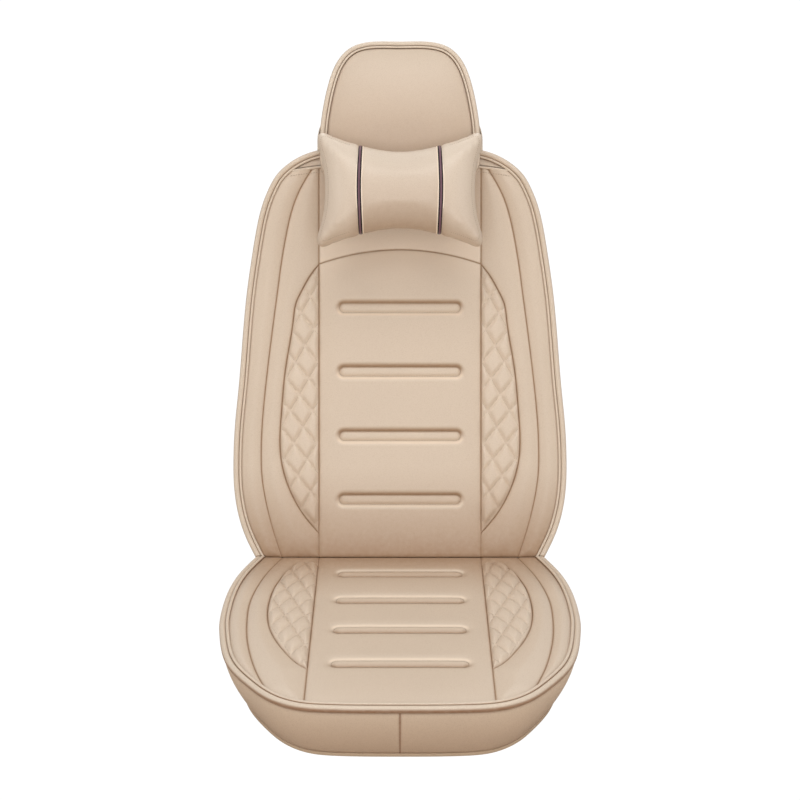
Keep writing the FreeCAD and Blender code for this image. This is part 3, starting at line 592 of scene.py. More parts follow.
@dataclass(frozen=True)
class NodeGroup:
    """A shared effect, built once as a shader node group.

    Attributes:
        name: Name of the group.
        outputs: Names of its outputs.
        fill: Makes its nodes from the tree, the place and the scale, and gives its outputs.
        scale: Default of its Scale input, where it has one.
    """
    name: str
    outputs: Sequence[str]
    fill: Callable[..., Sequence[Socket]]
    scale: float | None = None

    def tree(self) -> Tree:
        """Find the group, or build it on first use.

        Returns:
            Its node tree.
        """
        if self.name in bpy.data.node_groups:
            return bpy.data.node_groups[self.name]
        tree = bpy.data.node_groups.new(self.name, "ShaderNodeTree")
        tree.interface.new_socket("Vector", in_out="INPUT", socket_type="NodeSocketVector")
        if self.scale is not None:
            tree.interface.new_socket("Scale", in_out="INPUT",
                                      socket_type="NodeSocketFloat").default_value = self.scale
        for name in self.outputs:
            tree.interface.new_socket(name, in_out="OUTPUT", socket_type="NodeSocketFloat")
        start, end = (tree.nodes.new(f"NodeGroup{kind}") for kind in ("Input", "Output"))
        for socket, made in zip(end.inputs, self.fill(tree, *start.outputs[:-1])):
            tree.links.new(made, socket)
        return tree

    def placed(self, tree: Tree, **values: object) -> Node:
        """The group as a node of a material, with its own values."""
        return add_node(tree, "ShaderNodeGroup", node_tree=self.tree(), **values)


def feed(tree: Tree, socket: Socket, value: object) -> None:
    """Link an input to an output, or give it a plain value."""
    if isinstance(value, Socket):
        tree.links.new(value, socket)
    else:
        socket.default_value = value


def add_node(tree: Tree, kind: str, **settings: object) -> Node:
    """Add a node to a tree.

    Args:
        tree: Tree that gets the node.
        kind: Node type.
        settings: Attributes of the node, and numbers or outputs for its inputs, underscores
            standing for the spaces of their names.

    Returns:
        The node.
    """
    node = tree.nodes.new(kind)
    for key, value in settings.items():
        if hasattr(node, key):
            setattr(node, key, value)
        else:
            feed(tree, node.inputs[key.replace("_", " ")], value)
    return node


def math_node(tree: Tree, operation: str, *values: object,
              kind: str = "ShaderNodeMath", **settings: object) -> Socket:
    """Add a math node.

    Args:
        tree: Tree that gets the node.
        operation: Operation of the node.
        values: Numbers or outputs for its inputs, in order.
        kind: Node type.
        settings: More attributes of the node.

    Returns:
        The node's output.
    """
    node = add_node(tree, kind, operation=operation, **settings)
    for socket, value in zip(node.inputs, values):
        feed(tree, socket, value)
    return node.outputs[0]


def leather_grain(tree: Tree, place: Socket, scale: Socket) -> Sequence[Socket]:
    """Pebbled grain with fine pores.

    Args:
        tree: Tree of the group.
        place: Its Vector input.
        scale: Its Scale input.

    Returns:
        A height, and a mask of the pores.
    """
    bend = add_node(tree, "ShaderNodeTexNoise", Vector=place, Scale=260.0, Detail=2.0)
    bent = math_node(tree, "MULTIPLY_ADD", bend.outputs["Color"], (0.0012,) * 3, place,
                     kind="ShaderNodeVectorMath")
    cells = add_node(tree, "ShaderNodeTexVoronoi", feature="SMOOTH_F1", Vector=bent,
                     Scale=scale, Smoothness=0.6)
    fine = add_node(tree, "ShaderNodeTexNoise", Vector=place, Detail=3.0, Roughness=0.6,
                    Scale=math_node(tree, "MULTIPLY", scale, 2.3))
    distance = cells.outputs["Distance"]
    height = math_node(tree, "MULTIPLY_ADD", math_node(tree, "SUBTRACT", 1.0, distance), 0.75,
                       math_node(tree, "MULTIPLY", fine.outputs["Fac"], 0.25))
    pores = add_node(tree, "ShaderNodeMapRange", Value=distance, From_Min=0.35, From_Max=0.75)
    return height, pores.outputs[0]


def cloth_weave(tree: Tree, place: Socket, scale: Socket) -> Sequence[Socket]:
    """Over-and-under weave of two thread directions.

    Args:
        tree: Tree of the group.
        place: Its Vector input.
        scale: Its Scale input.

    Returns:
        A height, and a mask of the gaps.
    """
    waves = [add_node(tree, "ShaderNodeTexWave", bands_direction=direction, Vector=place, Scale=scale,
                      Distortion=0.6, Detail=1.0).outputs["Fac"] for direction in ("X", "Z")]
    height = math_node(tree, "MAXIMUM", *waves)
    return height, math_node(tree, "SUBTRACT", 1.0, height)


def uneven_tone(tree: Tree, place: Socket, scale: Socket) -> Sequence[Socket]:
    """Slow change of tone over a hide.

    Args:
        tree: Tree of the group.
        place: Its Vector input.
        scale: Its Scale input.

    Returns:
        A mask.
    """
    noise = add_node(tree, "ShaderNodeTexNoise", Vector=place, Scale=scale, Detail=3.0, Roughness=0.45)
    return add_node(tree, "ShaderNodeMapRange", Value=noise.outputs["Fac"], From_Min=0.3,
                    From_Max=0.7).outputs[:1]


def seam_and_painted_shade(tree: Tree, place: Socket) -> Sequence[Socket]:
    """Dark seam lines with painted shade from the seam attribute, and painted highlight where it is
    negative.

    Args:
        tree: Tree of the group.
        place: Its Vector input.

    Returns:
        A mask of each.
    """
    # The seam attribute is painted shade where positive (dark seam lines, creases, lips, the bite and lower
    # sides) and painted highlight where negative.
    near = add_node(tree, "ShaderNodeAttribute", attribute_name="seam").outputs["Fac"]
    noise = add_node(tree, "ShaderNodeTexNoise", Vector=place, Scale=140.0, Detail=2.0)
    uneven = add_node(tree, "ShaderNodeMapRange", Value=noise.outputs["Fac"], To_Min=0.8, To_Max=1.1)
    return (math_node(tree, "MULTIPLY", near, uneven.outputs[0], use_clamp=True),
            math_node(tree, "MULTIPLY", near, -1.0, use_clamp=True))


LEATHER_GRAIN = NodeGroup("leather_grain", ("Height", "Pores"), leather_grain, 900.0)
CLOTH_WEAVE = NodeGroup("cloth_weave", ("Height", "Gaps"), cloth_weave, 300.0)
UNEVEN_TONE = NodeGroup("uneven_tone", ("Mask",), uneven_tone, 9.0)
SEAM_AND_PAINTED_SHADE = NodeGroup("seam_and_painted_shade", ("Mask", "Taut"), seam_and_painted_shade)


@dataclass(frozen=True)
class Finish:
    """A finish of the set.

    Attributes:
        slot: The record's material slot; not used.
        colour: Base colour, as 8-bit display values.
        shade: Colour of pores and dark seam lines, and of the painted shade mixed in by the seam attribute,
            as 8-bit display values.
        scale: Cells or threads per metre of the texture.
        depth: Height of the texture in millimetres.
        tone: Share of uneven tone.
        gloss: Strength of the reflection.
    """
    name: str
    slot: str
    colour: tuple[int, int, int]
    roughness: float
    # Brown for pores and seam lines, also used as painted shade.
    shade: tuple[int, int, int] = (168, 134, 104)
    surface: Surface = Surface.LEATHER
    scale: float = 900.0
    depth: float = 0.02
    tone: float = 0.03
    sheen: float = 0.0
    gloss: float = 0.5

    def material(self) -> bpy.types.Material:
        """Find the material, or build it on first use.

        Returns:
            The material.
        """
        if self.name in bpy.data.materials:
            return bpy.data.materials[self.name]
        made = bpy.data.materials.new(self.name)
        made.use_nodes = True
        colour, shade = linear(self.colour), linear(self.shade)
        made.diffuse_color = (*colour, 1)
        tree = made.node_tree
        tree.nodes.clear()
        shader = add_node(
            tree, "ShaderNodeBsdfPrincipled", Roughness=self.roughness,
            Sheen_Weight=self.sheen, Specular_IOR_Level=self.gloss,
            Metallic=float(self.surface is Surface.METAL))
        add_node(tree, "ShaderNodeOutputMaterial", Surface=shader.outputs[0])
        place = add_node(tree, "ShaderNodeTexCoord").outputs["Object"]
        tone, seams = UNEVEN_TONE.placed(tree, Vector=place), SEAM_AND_PAINTED_SHADE.placed(tree, Vector=place)
        weave = self.surface in (Surface.WEBBING, Surface.SPONGE)
        texture = (CLOTH_WEAVE if weave else LEATHER_GRAIN).placed(tree, Vector=place, Scale=self.scale)
        depths = texture.outputs[1]
        mixed = colour
        # Uneven tone and darker pores are the leather's own; a lighter copy of the colour is painted
        # highlight, and the shade colour by the seam mask gives dark seam lines with painted shade.
        for other, share in (
                ([0.84 * c for c in colour],
                 math_node(tree, "MULTIPLY", tone.outputs["Mask"], self.tone * 4)),
                (shade, math_node(tree, "MULTIPLY", depths, 0.14)),
                ([min(1.0, 1.3 * c + 0.03) for c in colour], seams.outputs["Taut"]),
                (shade, seams.outputs["Mask"])):
            mixed = self._mix(tree, mixed, other, share)
        tree.links.new(mixed, shader.inputs["Base Color"])
        rough = add_node(tree, "ShaderNodeMapRange", Value=depths,
                         To_Min=self.roughness - 0.04, To_Max=min(1.0, self.roughness + 0.12))
        tree.links.new(rough.outputs[0], shader.inputs["Roughness"])
        bump = add_node(tree, "ShaderNodeBump", Height=texture.outputs["Height"],
                        Strength=0.6, Distance=self.depth * MM)
        tree.links.new(bump.outputs[0], shader.inputs["Normal"])
        return made

    @staticmethod
    def _mix(tree: Tree, first: object, second: Sequence[float], share: Socket) -> Socket:
        """Mix a second colour into the first by a share.

        Args:
            tree: Tree of the material.
            first: Colour or output to mix into.
            second: Colour that is mixed in.
            share: Its share.

        Returns:
            The mixed colour.
        """
        node = add_node(tree, "ShaderNodeMix", data_type="RGBA")
        inputs = {socket.identifier: socket for socket in node.inputs}
        plain = not isinstance(first, Socket)
        feed(tree, inputs["A_Color"], (*first, 1) if plain else first)
        feed(tree, inputs["B_Color"], (*second, 1))
        feed(tree, inputs["Factor_Float"], share)
        return next(s for s in node.outputs if s.identifier == "Result_Color")


def linear(display: Sequence[int]) -> tuple[float, ...]:
    """Linear colour of an 8-bit display colour."""
    shares = [value / 255 for value in display]
    return tuple(share / 12.92 if share <= 0.04045 else ((share + 0.055) / 1.055) ** 2.4
                 for share in shares)


HIDE = Finish("beige_hide", "leather", (219, 200, 179), 0.43)
QUILT_HIDE = Finish("quilted_hide", "quilted_leather", (223, 204, 183), 0.46)
# Its shade colour is the brown of the seam lines beside the cords and of their painted shade.
PIPING_HIDE = Finish("piping_hide", "piping", (223, 205, 184), 0.36, (150, 114, 86))
PILLOW_HIDE = Finish("pillow_hide", "pillow_leather", (225, 208, 189), 0.40, depth=0.015, tone=0.02)
# Plum is the cord's lit colour, and its near-black shade colour is painted shade for the cord's sides.
PLUM_PIPING = Finish("plum_piping", "dark_piping", (150, 112, 124), 0.30, (20, 14, 18),
                     depth=0.01, tone=0.1, gloss=0.2)
# Its shade colour is the brown of the skirt's seam lines and of its painted shade.
SKIRT_HIDE = Finish("skirt_hide", "leather", (226, 204, 180), 0.45, (140, 98, 66))
BINDING_HIDE = Finish("hem_binding_hide", "binding", (206, 181, 153), 0.5)
THREAD = Finish("sewing_thread", "leather", (190, 168, 144), 0.6, (120, 96, 72),
                Surface.WEBBING, 1400.0, 0.05, 0.1, sheen=0.2)
SPONGE = Finish("sponge", "sponge", (224, 219, 206), 0.95, (150, 144, 130), Surface.SPONGE,
                420.0, 0.5, 0.1, sheen=0.2)
BACKING = Finish("backing_cloth", "backing", (176, 160, 140), 0.9, (96, 84, 70),
                 Surface.WEBBING, 420.0, 0.2, 0.1, sheen=0.3)
WEBBING = Finish("webbing_cloth", "webbing", (46, 44, 44), 0.8, (14, 13, 13),
                 Surface.WEBBING, 330.0, 0.4, 0.1, sheen=0.2)
ELASTIC = Finish("elastic_cloth", "elastic", (226, 208, 186), 0.85, (110, 92, 72),
                 Surface.WEBBING, 360.0, 0.4, 0.1, sheen=0.3)
ZIP_TAPE = Finish("zip_tape_cloth", "zip_tape", (188, 168, 142), 0.85, (96, 78, 60),
                  Surface.WEBBING, 520.0, 0.25, 0.1, sheen=0.2)
STRAP_PLASTIC = Finish("strap_plastic", "strap_plastic", (38, 37, 37), 0.55, (18, 17, 17),
                       Surface.PLASTIC, 1500.0, 0.04, 0.1)
HOOK_STEEL = Finish("hook_steel", "hook_steel", (198, 198, 196), 0.3, (110, 110, 108),
                    Surface.METAL, 1200.0, 0.01, 0.1)
ZIP_METAL = Finish("zip_metal", "zip_metal", (190, 160, 108), 0.35, (90, 70, 40),
                   Surface.METAL, 1200.0, 0.01, 0.1)


# ---------- sewn pads and stitches
def rolled(distance: Points, depth: float, reach: float) -> Points:
    """How far a pad's edge turns down towards its seam."""
    return -depth * (1 - clamped(distance / reach)) ** 2.4


def crowned(distance: Points, height: float, reach: float) -> Points:
    """How far the stuffing lifts a pad away from its seams."""
    return height * (1 - np.exp(-distance / reach))


def closed_up(top: Points, under: Points, faces: list, shade: Points) -> Blank:
    """Close two faces of the same cut with a wall round their rims.

    Args:
        top: Vertices of the visible face.
        under: Vertices of the hidden face.
        faces: Faces of the visible one.
        shade: Seam shade of the visible one.

    Returns:
        The closed blank.
    """
    count = len(top)
    uses = Counter((min(a, b), max(a, b)) for face in faces for a, b in zip(face, face[1:] + face[:1]))
    walls = [[a, b, b + count, a + count] for (a, b), times in uses.items() if times == 1]
    below = [[i + count for i in face[::-1]] for face in faces]
    return Blank(np.concatenate([top, under]), faces + below + walls, np.concatenate([shade, shade * 0]))


@dataclass
class Pad:
    """A leather pad cut to an outline.

    Attributes:
        law: Height of its visible face from points and their distance to the seams.
        seams: Lines that it is sewn along; the outline where none are given.
        floor: Height of its hidden face.
        rings: Distances from the seams at which vertices follow them.
        creases: Lines kept as edges of the mesh.
        painted_shading: More painted shade from points, painted highlight where negative, for creases and
            lips inside the outline and broad shading across the pad.
    """
    name: str
    loop: Points
    law: Law
    seams: Sequence[Points] = ()
    floor: float = -5.6
    spacing: float = 4.0
    rings: Sequence[float] = (0.7, 1.6, 2.8, 4.4, 6.6, 9.5)
    creases: Sequence[Points] = ()
    shade_reach: float = 1.3
    painted_shading: Callable[[Points], Points] | None = None

    def sewn(self) -> list[Points]:
        """Lines that the pad is sewn along."""
        return list(self.seams) or [ring_closed(self.loop)]

    def height(self, points: Points) -> Points:
        """Height of the visible face."""
        return self.law(points, distance_to(points, self.sewn()))

    def on_face(self, line: Points, lift: float = 0.0) -> Points:
        """A line laid on the visible face."""
        return raised(line, self.height(line) + lift)

    def vertices(self) -> Points:
        """Lay out the inner vertices.

        Returns:
            Points that follow the outline, and then an even field.
        """
        edge = [ring_closed(self.loop)]
        x, y = self.loop.T
        leftwards = np.sum(x * np.roll(y, -1) - np.roll(x, -1) * y) > 0
        turned = self.loop if leftwards else self.loop[::-1]
        found = []
        for ring in self.rings:
            moved = drawn_in(turned, ring)
            near = distance_to(moved, edge)
            found.append(moved[(near > 0.96 * ring) & inside(moved, self.loop)])
        low, high = self.loop.min(0), self.loop.max(0)
        rows = []
        for i, height in enumerate(np.arange(low[1], high[1], self.spacing * 0.866)):
            across = np.arange(low[0] + (i % 2) * self.spacing / 2, high[0], self.spacing)
            rows.append(np.column_stack([across, np.full(len(across), height)]))
        around = np.concatenate(rows)
        around = around[inside(around, self.loop)]
        around = around[distance_to(around, edge) > self.rings[-1] + self.spacing / 2]
        if self.creases:
            around = around[distance_to(around, self.creases) > self.spacing / 2]
        return np.concatenate(found + [around])

    def flat(self) -> tuple[Points, list]:
        """Mesh the pad laid flat.

        Returns:
            Its vertices and its triangles.
        """
        edges, base = [], len(self.loop)
        for crease in self.creases:
            edges += [(base + i, base + i + 1) for i in range(len(crease) - 1)]
            base += len(crease)
        every = np.concatenate([self.loop, *self.creases, self.vertices()])
        coords, _, faces, *_ = delaunay_2d_cdt(
            [Vector(p) for p in every], edges, [list(range(len(self.loop)))], 1, 0.01)
        return np.array([tuple(c) for c in coords]), [list(f) for f in faces]

    def local(self, under: Law | None = None) -> Blank:
        """The closed pad in its cover's frame.

        Args:
            under: Height of its hidden face, where that isn't flat.

        Returns:
            The pad.
        """
        flat, faces = self.flat()
        near = distance_to(flat, self.sewn())
        # Seam lines get dark seam colour with painted shade beside them; the pad's own painted shade and
        # painted highlight are added on top.
        shade = bell(near, self.shade_reach)
        if self.painted_shading:
            inner = self.painted_shading(flat)
            shade = np.where(inner < 0, shade + inner * (1 - shade), np.maximum(shade, inner))
        return closed_up(raised(flat, self.law(flat, near)),
                         raised(flat, under(flat, near) if under else self.floor), faces, shade)


def stitches(spots: Points, ways: Points, length: float = 1.9, radius: float = 0.42,
             up: Points | Sequence[float] = OUT) -> Blank:
    """Thread stitches at given spots.

    Args:
        spots: Middle of each stitch.
        ways: Direction of each stitch.
        length: Length of a stitch.
        radius: Radius of the thread.
        up: Direction out of the face, or one for each stitch.

    Returns:
        All the stitches as one blank.
    """
    ways = unit(ways)[:, None]
    side = unit(np.cross(ways, np.array(up, float).reshape(-1, 1, 3)))
    out = np.cross(side, ways)
    corners = full_turn(6)[None, :, None]
    stations = ((-0.5, 0.35, -0.5), (-0.3, 1.0, 0.2), (0.3, 1.0, 0.2), (0.5, 0.35, -0.5))
    rings = [spots[:, None] + share * length * ways + lift * radius * out
             + swell * radius * (np.cos(corners) * side + np.sin(corners) * out)
             for share, swell, lift in stations]
    faces = []
    for base in range(0, 24 * len(spots), 24):
        faces += tube(4, 6, base=base)
    return Blank(np.stack(rings, axis=1).reshape(-1, 3), faces)


def stitch_row(line: Points, pitch: float = 2.6, **sizes: float) -> Blank:
    """Stitches one pitch apart along a line in space."""
    spots = even(line, pitch)
    return stitches((spots[1:] + spots[:-1]) / 2, spots[1:] - spots[:-1], length=0.74 * pitch, **sizes)


# ---------- cover faces
@dataclass
class Piping:
    """Double piping round a cover, each cord's lift that of its middle above the face."""
    outer_radius: float = 4.5
    inner_radius: float = 2.15
    outer_lift: float = 0.4
    inner_lift: float = 1.2

    @property
    def inner_inset(self) -> float:
        """Distance from the cover's outline to the inner cord's middle, the cords touching."""
        return self.outer_radius + math.sqrt((self.outer_radius + self.inner_radius) ** 2
                                             - (self.inner_lift - self.outer_lift) ** 2)

    @property
    def width(self) -> float:
        """Width of both cords together, less what the panels tuck under them."""
        return self.inner_inset + 0.2 * self.inner_radius

    def cord(self, line: Points, radius: float, closed: bool = False) -> Blank:
        """One cord along a line in space, with painted shade on its lower side beside the seams.

        Args:
            line: The cord's middle line.
            radius: Radius of the cord.
            closed: Whether the line joins up with its start.

        Returns:
            The cord.
        """
        section = round_section(radius, 20)
        # Painted shade on the cord's lower side, where the seam grooves beside it fall in shade.
        shade = clamped((0.72 - section[:, 1] / radius) / 0.5) ** 1.5
        return sweep(line, OUT, section, closed, shade)


@dataclass(kw_only=True)
class CoverFace(SewnPart):
    """Front of a seat cover: centre panel, quilted crescents, bolsters and piping.

    Attributes:
        edge: Right half of the outline, from the bite line to the middle of the far edge.
        bolster: Right bolster seam, from the bite line.
        crescent: Right crescent arc, from its tip near the bite line.
        cell: Half width and half height of a quilted diamond.
        lean: Sideways drift of the diamonds along the cover.
        painted_bite_shade: Share of the shade colour painted on the leather near the bite line, as painted
            shade where the covers meet.
    """
    prefix: str
    edge: Knots
    bolster: Knots
    crescent: Knots
    channels: Sequence[float]
    centre: float = 129.5
    channel_half: float = 97.0
    channel_radius: float = 7.5
    channel_depth: float = 7.5
    channel_rise: float = 3.2
    channel_lip: float = 8.5
    # Where the painted shade band on each channel's upper lip lies, and its reach.
    painted_lip_shade: tuple[float, float] = (2.0, 2.8)
    cell: tuple[float, float] = (18.0, 26.0)
    lean: float = 0.12
    piping: Piping = field(default_factory=Piping)
    painted_bite_shade: float = 0.95
    outer_crown: float = 9.0
    inner_crown: float = 6.5
    sponge_end: float = 469.0
    pads: dict = field(default_factory=dict)

    def __post_init__(self) -> None:
        """Work out the seams that the panels share."""
        self.rim = through(self.edge)
        longer = stretched(self.rim, start=30)
        base = np.array([(0.0, 0.0), (400.0, 0.0)])
        self.seam = after(beside(longer, self.piping.width), base)
        self.seam[-1, 0] = 0.0
        self.bolster_line = stretched(through(self.bolster), end=60)
        self.arc = through(self.crescent)

    # .......... laws of height
    def soft_edge(self, distance: Points) -> Points:
        """Edge of a panel turned down into its seam."""
        return rolled(distance, 1.1, 5.0)

    def channel_law(self, points: Points) -> Points:
        """Sewn channels: lips that turn down to two rows of stitches, and a strip between.

        Args:
            points: Points in the face.

        Returns:
            A height for each.
        """
        radius, depth = self.channel_radius, self.channel_depth
        height = np.zeros(len(points))
        for away, _ in self.from_channels(points):
            lip = -depth * (1 - clamped(away / self.channel_lip)) ** 2
            strip = -depth + self.channel_rise * (1 - (1 - clamped(-away / radius)) ** 2)
            height += np.where(away > 0, lip, strip)
        return height

    def from_channels(self, points: Points) -> Iterator[tuple[Points, Points]]:
        """Each channel's distance outside its stitches, and how far on its upper side."""
        for along in self.channels:
            over = np.maximum(np.abs(points[:, 0]) - (self.channel_half - self.channel_radius), 0)
            away = np.hypot(over, points[:, 1] - along)
            yield away - self.channel_radius, (points[:, 1] - along) / (away + 0.1)

    def painted_channel_shade(self, points: Points) -> Points:
        """Painted shade in the channels' stitch lines and on their upper lips, and painted highlight on
        their lower lips.

        Args:
            points: Points in the face.

        Returns:
            A painted shade for each, negative where it is painted highlight.
        """
        shade, light = np.zeros((2, len(points)))
        centre, reach = self.painted_lip_shade
        for away, upper in self.from_channels(points):
            # Painted shade on the stitch lines and upper lips, painted highlight on the lower lips, as
            # light from above would fall.
            line = (0.3 + 0.3 * upper) * bell(away, 0.9)
            lip = 0.85 * clamped(1.5 * upper) * bell(away - centre, reach)
            painted_light = clamped(-1.5 * upper) * bell(away - 3.2, 2.2)
            shade = np.maximum(shade, np.clip(line + lip, 0, 0.9))
            light = np.maximum(light, 0.8 * painted_light)
        return shade - light

    def channel_ring(self, along: float, grow: float = 0.0, count: int = 9, step: float = 2.0) -> Points:
        """Line that follows the stitches of one channel.

        Args:
            along: Where the channel lies along the cover.
            grow: Distance of the line outside the stitches.
            count: Points of a rounded end.
            step: Distance between the points of the line.

        Returns:
            The line, ending where it starts.
        """
        reach = self.channel_radius + grow
        turn = np.linspace(-math.pi / 2, math.pi / 2, count)
        end = np.column_stack([self.channel_half - self.channel_radius + reach * np.cos(turn),
                               along + reach * np.sin(turn)])
        return even(np.concatenate([end, flipped(end, LEFT)[::-1], end[:1]]), step)

    def centre_law(self, points: Points, distance: Points) -> Points:
        """Centre panel."""
        return crowned(distance, 3.5, 18) + self.soft_edge(distance) + self.channel_law(points)

    def lattice(self, points: Points, side: int) -> tuple[Points, Points]:
        """Place of points across the two families of quilting lines, in diamonds.

        Args:
            points: Points in the face.
            side: Side of the cover.

        Returns:
            Each point's place in both families, their lines at whole numbers.
        """
        wide, high = self.cell
        across = (side * points[:, 0] - self.centre - self.lean * points[:, 1]) / wide
        along = points[:, 1] / high
        return (across + along) / 2, (across - along) / 2

    def quilt_law(self, side: int) -> Law:
        """Quilted crescent: a swollen diamond between every four lines.

        Args:
            side: Side of the cover.

        Returns:
            Its height law.
        """
        gap = self.quilt_gap()

        def law(points: Points, distance: Points) -> Points:
            """Height of the crescent.

            Args:
                points: Points in the face.
                distance: Their distances to the seam.

            Returns:
                A height for each.
            """
            height = crowned(distance, 2.6, 7) + rolled(distance, 2.0, 6)
            dome = clamped((distance - 0.8) / 5.0) ** 0.8
            for place in self.lattice(points, side):
                off = np.abs(place - np.round(place)) * gap
                dome *= 1 - np.exp(-(off / 3.2) ** 1.25)
            return height + 5.4 * dome
        return law

    def plain_law(self, crown: float, reach: float = 20.0) -> Law:
        """Plain swollen panel."""
        return lambda points, distance: crowned(distance, crown, reach) + self.soft_edge(distance)

    # .......... outlines
    def crescent_loop(self, side: int) -> Points:
        """Outline of one quilted crescent."""
        return loop_of(flipped(self.arc, side), step=2.5)

    def bolster_end(self) -> tuple[Points, Points]:
        """The bolster seam as far as it is sewn, and the far edge beyond it outwards."""
        seam = until(self.bolster_line, self.seam)
        return seam, until(self.seam, self.bolster_line)

    def outer_loop(self, side: int) -> Points:
        """Outline of one outer bolster."""
        seam, rim = self.bolster_end()
        return loop_of(flipped(seam, side), flipped(rim[::-1], side))

    def inner_loop(self, side: int) -> Points:
        """Outline of one inner bolster."""
        far = until(after(self.seam, self.bolster_line), self.centre_line())
        return self.beside_centre(side, far[-1], far[::-1])

    def beside_centre(self, side: int, foot: Sequence[float], far: Points) -> Points:
        """Outline of an inner bolster whose far end is given.

        Args:
            side: Side of the cover.
            foot: Where the centre panel's edge ends.
            far: The far end, outwards.

        Returns:
            The outline.
        """
        lines = (straight((self.centre, 0), self.arc[0]), self.arc,
                 straight(self.arc[-1], foot), far, self.bolster_end()[0][::-1])
        return loop_of(*(flipped(line, side) for line in lines))

    def centre_loop(self) -> Points:
        """Outline of the centre panel."""
        end = after(self.seam, self.centre_line())
        return loop_of(straight((self.centre, 0), end[0]), end, flipped(end, LEFT)[::-1],
                       straight((-self.centre, 0), (self.centre, 0)))

    def centre_line(self) -> Points:
        """The right edge of the centre panel, carried on beyond the cover."""
        return np.array([(self.centre, -10.0), (self.centre, 900.0)])

    def sewn_lines(self, loop: Points) -> list[Points]:
        """Parts of an outline that are sewn down."""
        return [ring_closed(loop)]

    # .......... pieces
    def pad_piece(self, pad: Pad, finish: Finish, node: str, fill: float = 0.7) -> None:
        """Make a pad's piece in its place on the seat.

        Args:
            pad: The pad.
            finish: Its finish.
            node: Frame node that it stands for.
            fill: How tightly it is stuffed; not used.
        """
        self.pads[pad.name] = pad
        blank = pad.local()
        # Painted shade, darker towards the bite line where the other cover shades this one.
        painted_bite_share = self.painted_bite_shade * (1 - clamped(blank.points[:, 1] / 150.0)) ** 1.3
        blank.seam = np.where(blank.seam < 0, blank.seam + painted_bite_share, np.maximum(blank.seam, painted_bite_share))
        self.make(pad.name, blank, finish, node)

    def build_centre(self) -> None:
        """Centre panel with its channels and their stitches."""
        creases = [self.channel_ring(along, grow, 12, 3.0) for along in self.channels
                   for grow in (-5.0, -2.5, -0.8, 0.0, 0.8, 2.0, 3.6, 5.5, 8.0, 11.0)]
        pad = Pad(f"{self.prefix}_centre_leather", self.centre_loop(), self.centre_law,
                  creases=creases, spacing=4.5, painted_shading=self.painted_channel_shade)
        self.pad_piece(pad, HIDE, f"{self.prefix}_centre_panel")
        self.thread(f"{self.prefix}_channel_stitches",
                    [stitch_row(pad.on_face(self.channel_ring(along), 0.5)) for along in self.channels])

    def thread(self, name: str, rows: Sequence[Blank]) -> None:
        """Make one piece of all the given stitches.

        Args:
            name: Name of the piece.
            rows: The stitches.
        """
        blank = joined(rows)
        blank.points = self.cover.mitred(blank.points)
        self.make(name, blank, THREAD)

    def quilt_rows(self, pad: Pad, side: int) -> list[Blank]:
        """Stitches along the quilting lines of a crescent.

        Args:
            pad: The crescent.
            side: Side of the cover.

        Returns:
            Stitches, left out where two lines cross.
        """
        wide, high = self.cell
        low, top = pad.loop.min(0), pad.loop.max(0)
        length = 2 * math.hypot(*(top - low))
        steps = np.arange(-length, length, 2.6)
        count = int(length / high)
        spots, ways = [], []
        for family in (1, -1):
            way = unit(np.array([side * (wide + self.lean * family * high), family * high]))
            for along in 2 * high * np.arange(-count, count):
                origin = np.array([side * (self.centre + self.lean * along), along])
                line = origin + steps[:, None] * way
                line = line[((line > low) & (line < top)).all(1)]
                spots.append(line)
                ways.append(np.tile(way, (len(line), 1)))
        points = np.concatenate(spots)
        other = np.maximum(*(np.abs(at - np.round(at)) for at in self.lattice(points, side)))
        keep = (other * self.quilt_gap() > 2.6) & inside(points, pad.loop) \
            & (distance_to(points, pad.sewn()) > 2.2)
        return [stitches(pad.on_face(points[keep], 0.15), raised(np.concatenate(ways)[keep], 0.0))]

    def quilt_gap(self) -> float:
        """Distance between neighbouring quilting lines of one family."""
        wide, high = self.cell
        return 2 * wide * high / math.hypot(wide, high)

    def build_quilts(self) -> None:
        """Both quilted crescents and their stitches."""
        rows = []
        for word, side in SIDES.items():
            pad = Pad(f"{self.prefix}_quilt_leather_{word}", self.crescent_loop(side),
                      self.quilt_law(side), spacing=1.9, rings=(0.7, 1.6, 2.8))
            self.pad_piece(pad, QUILT_HIDE, f"{self.prefix}_quilt_{word}", fill=0.8)
            rows += self.quilt_rows(pad, side)
        self.thread(f"{self.prefix}_quilt_stitches", rows)

    def build_bolsters(self) -> None:
        """Inner and outer bolsters of both sides."""
        for word, side in SIDES.items():
            for kind, loop, crown in (("inner", self.inner_loop(side), self.inner_crown),
                                      ("outer", self.outer_loop(side), self.outer_crown)):
                pad = Pad(f"{self.prefix}_{kind}_bolster_leather_{word}", loop,
                          self.plain_law(crown), seams=self.sewn_lines(loop), spacing=5.0)
                self.pad_piece(pad, HIDE, f"{self.prefix}_{kind}_bolster_{word}")

    def build_piping(self) -> None:
        """Outer and inner cord, mitred where they meet the other cover."""
        half = stretched(self.rim, start=5)
        half[-1, 0] = 0.0
        piping = self.piping
        for kind, inset, radius, lift in (
                ("outer", piping.outer_radius, piping.outer_radius, piping.outer_lift),
                ("inner", piping.inner_inset, piping.inner_radius, piping.inner_lift)):
            line = even(beside(both_sides(half), inset), 4.0)
            blank = piping.cord(raised(line, lift), radius)
            blank.points = self.cover.mitred(blank.points)
            self.make(f"{self.prefix}_{kind}_piping", blank, PIPING_HIDE, f"{self.prefix}_welt_{kind}")

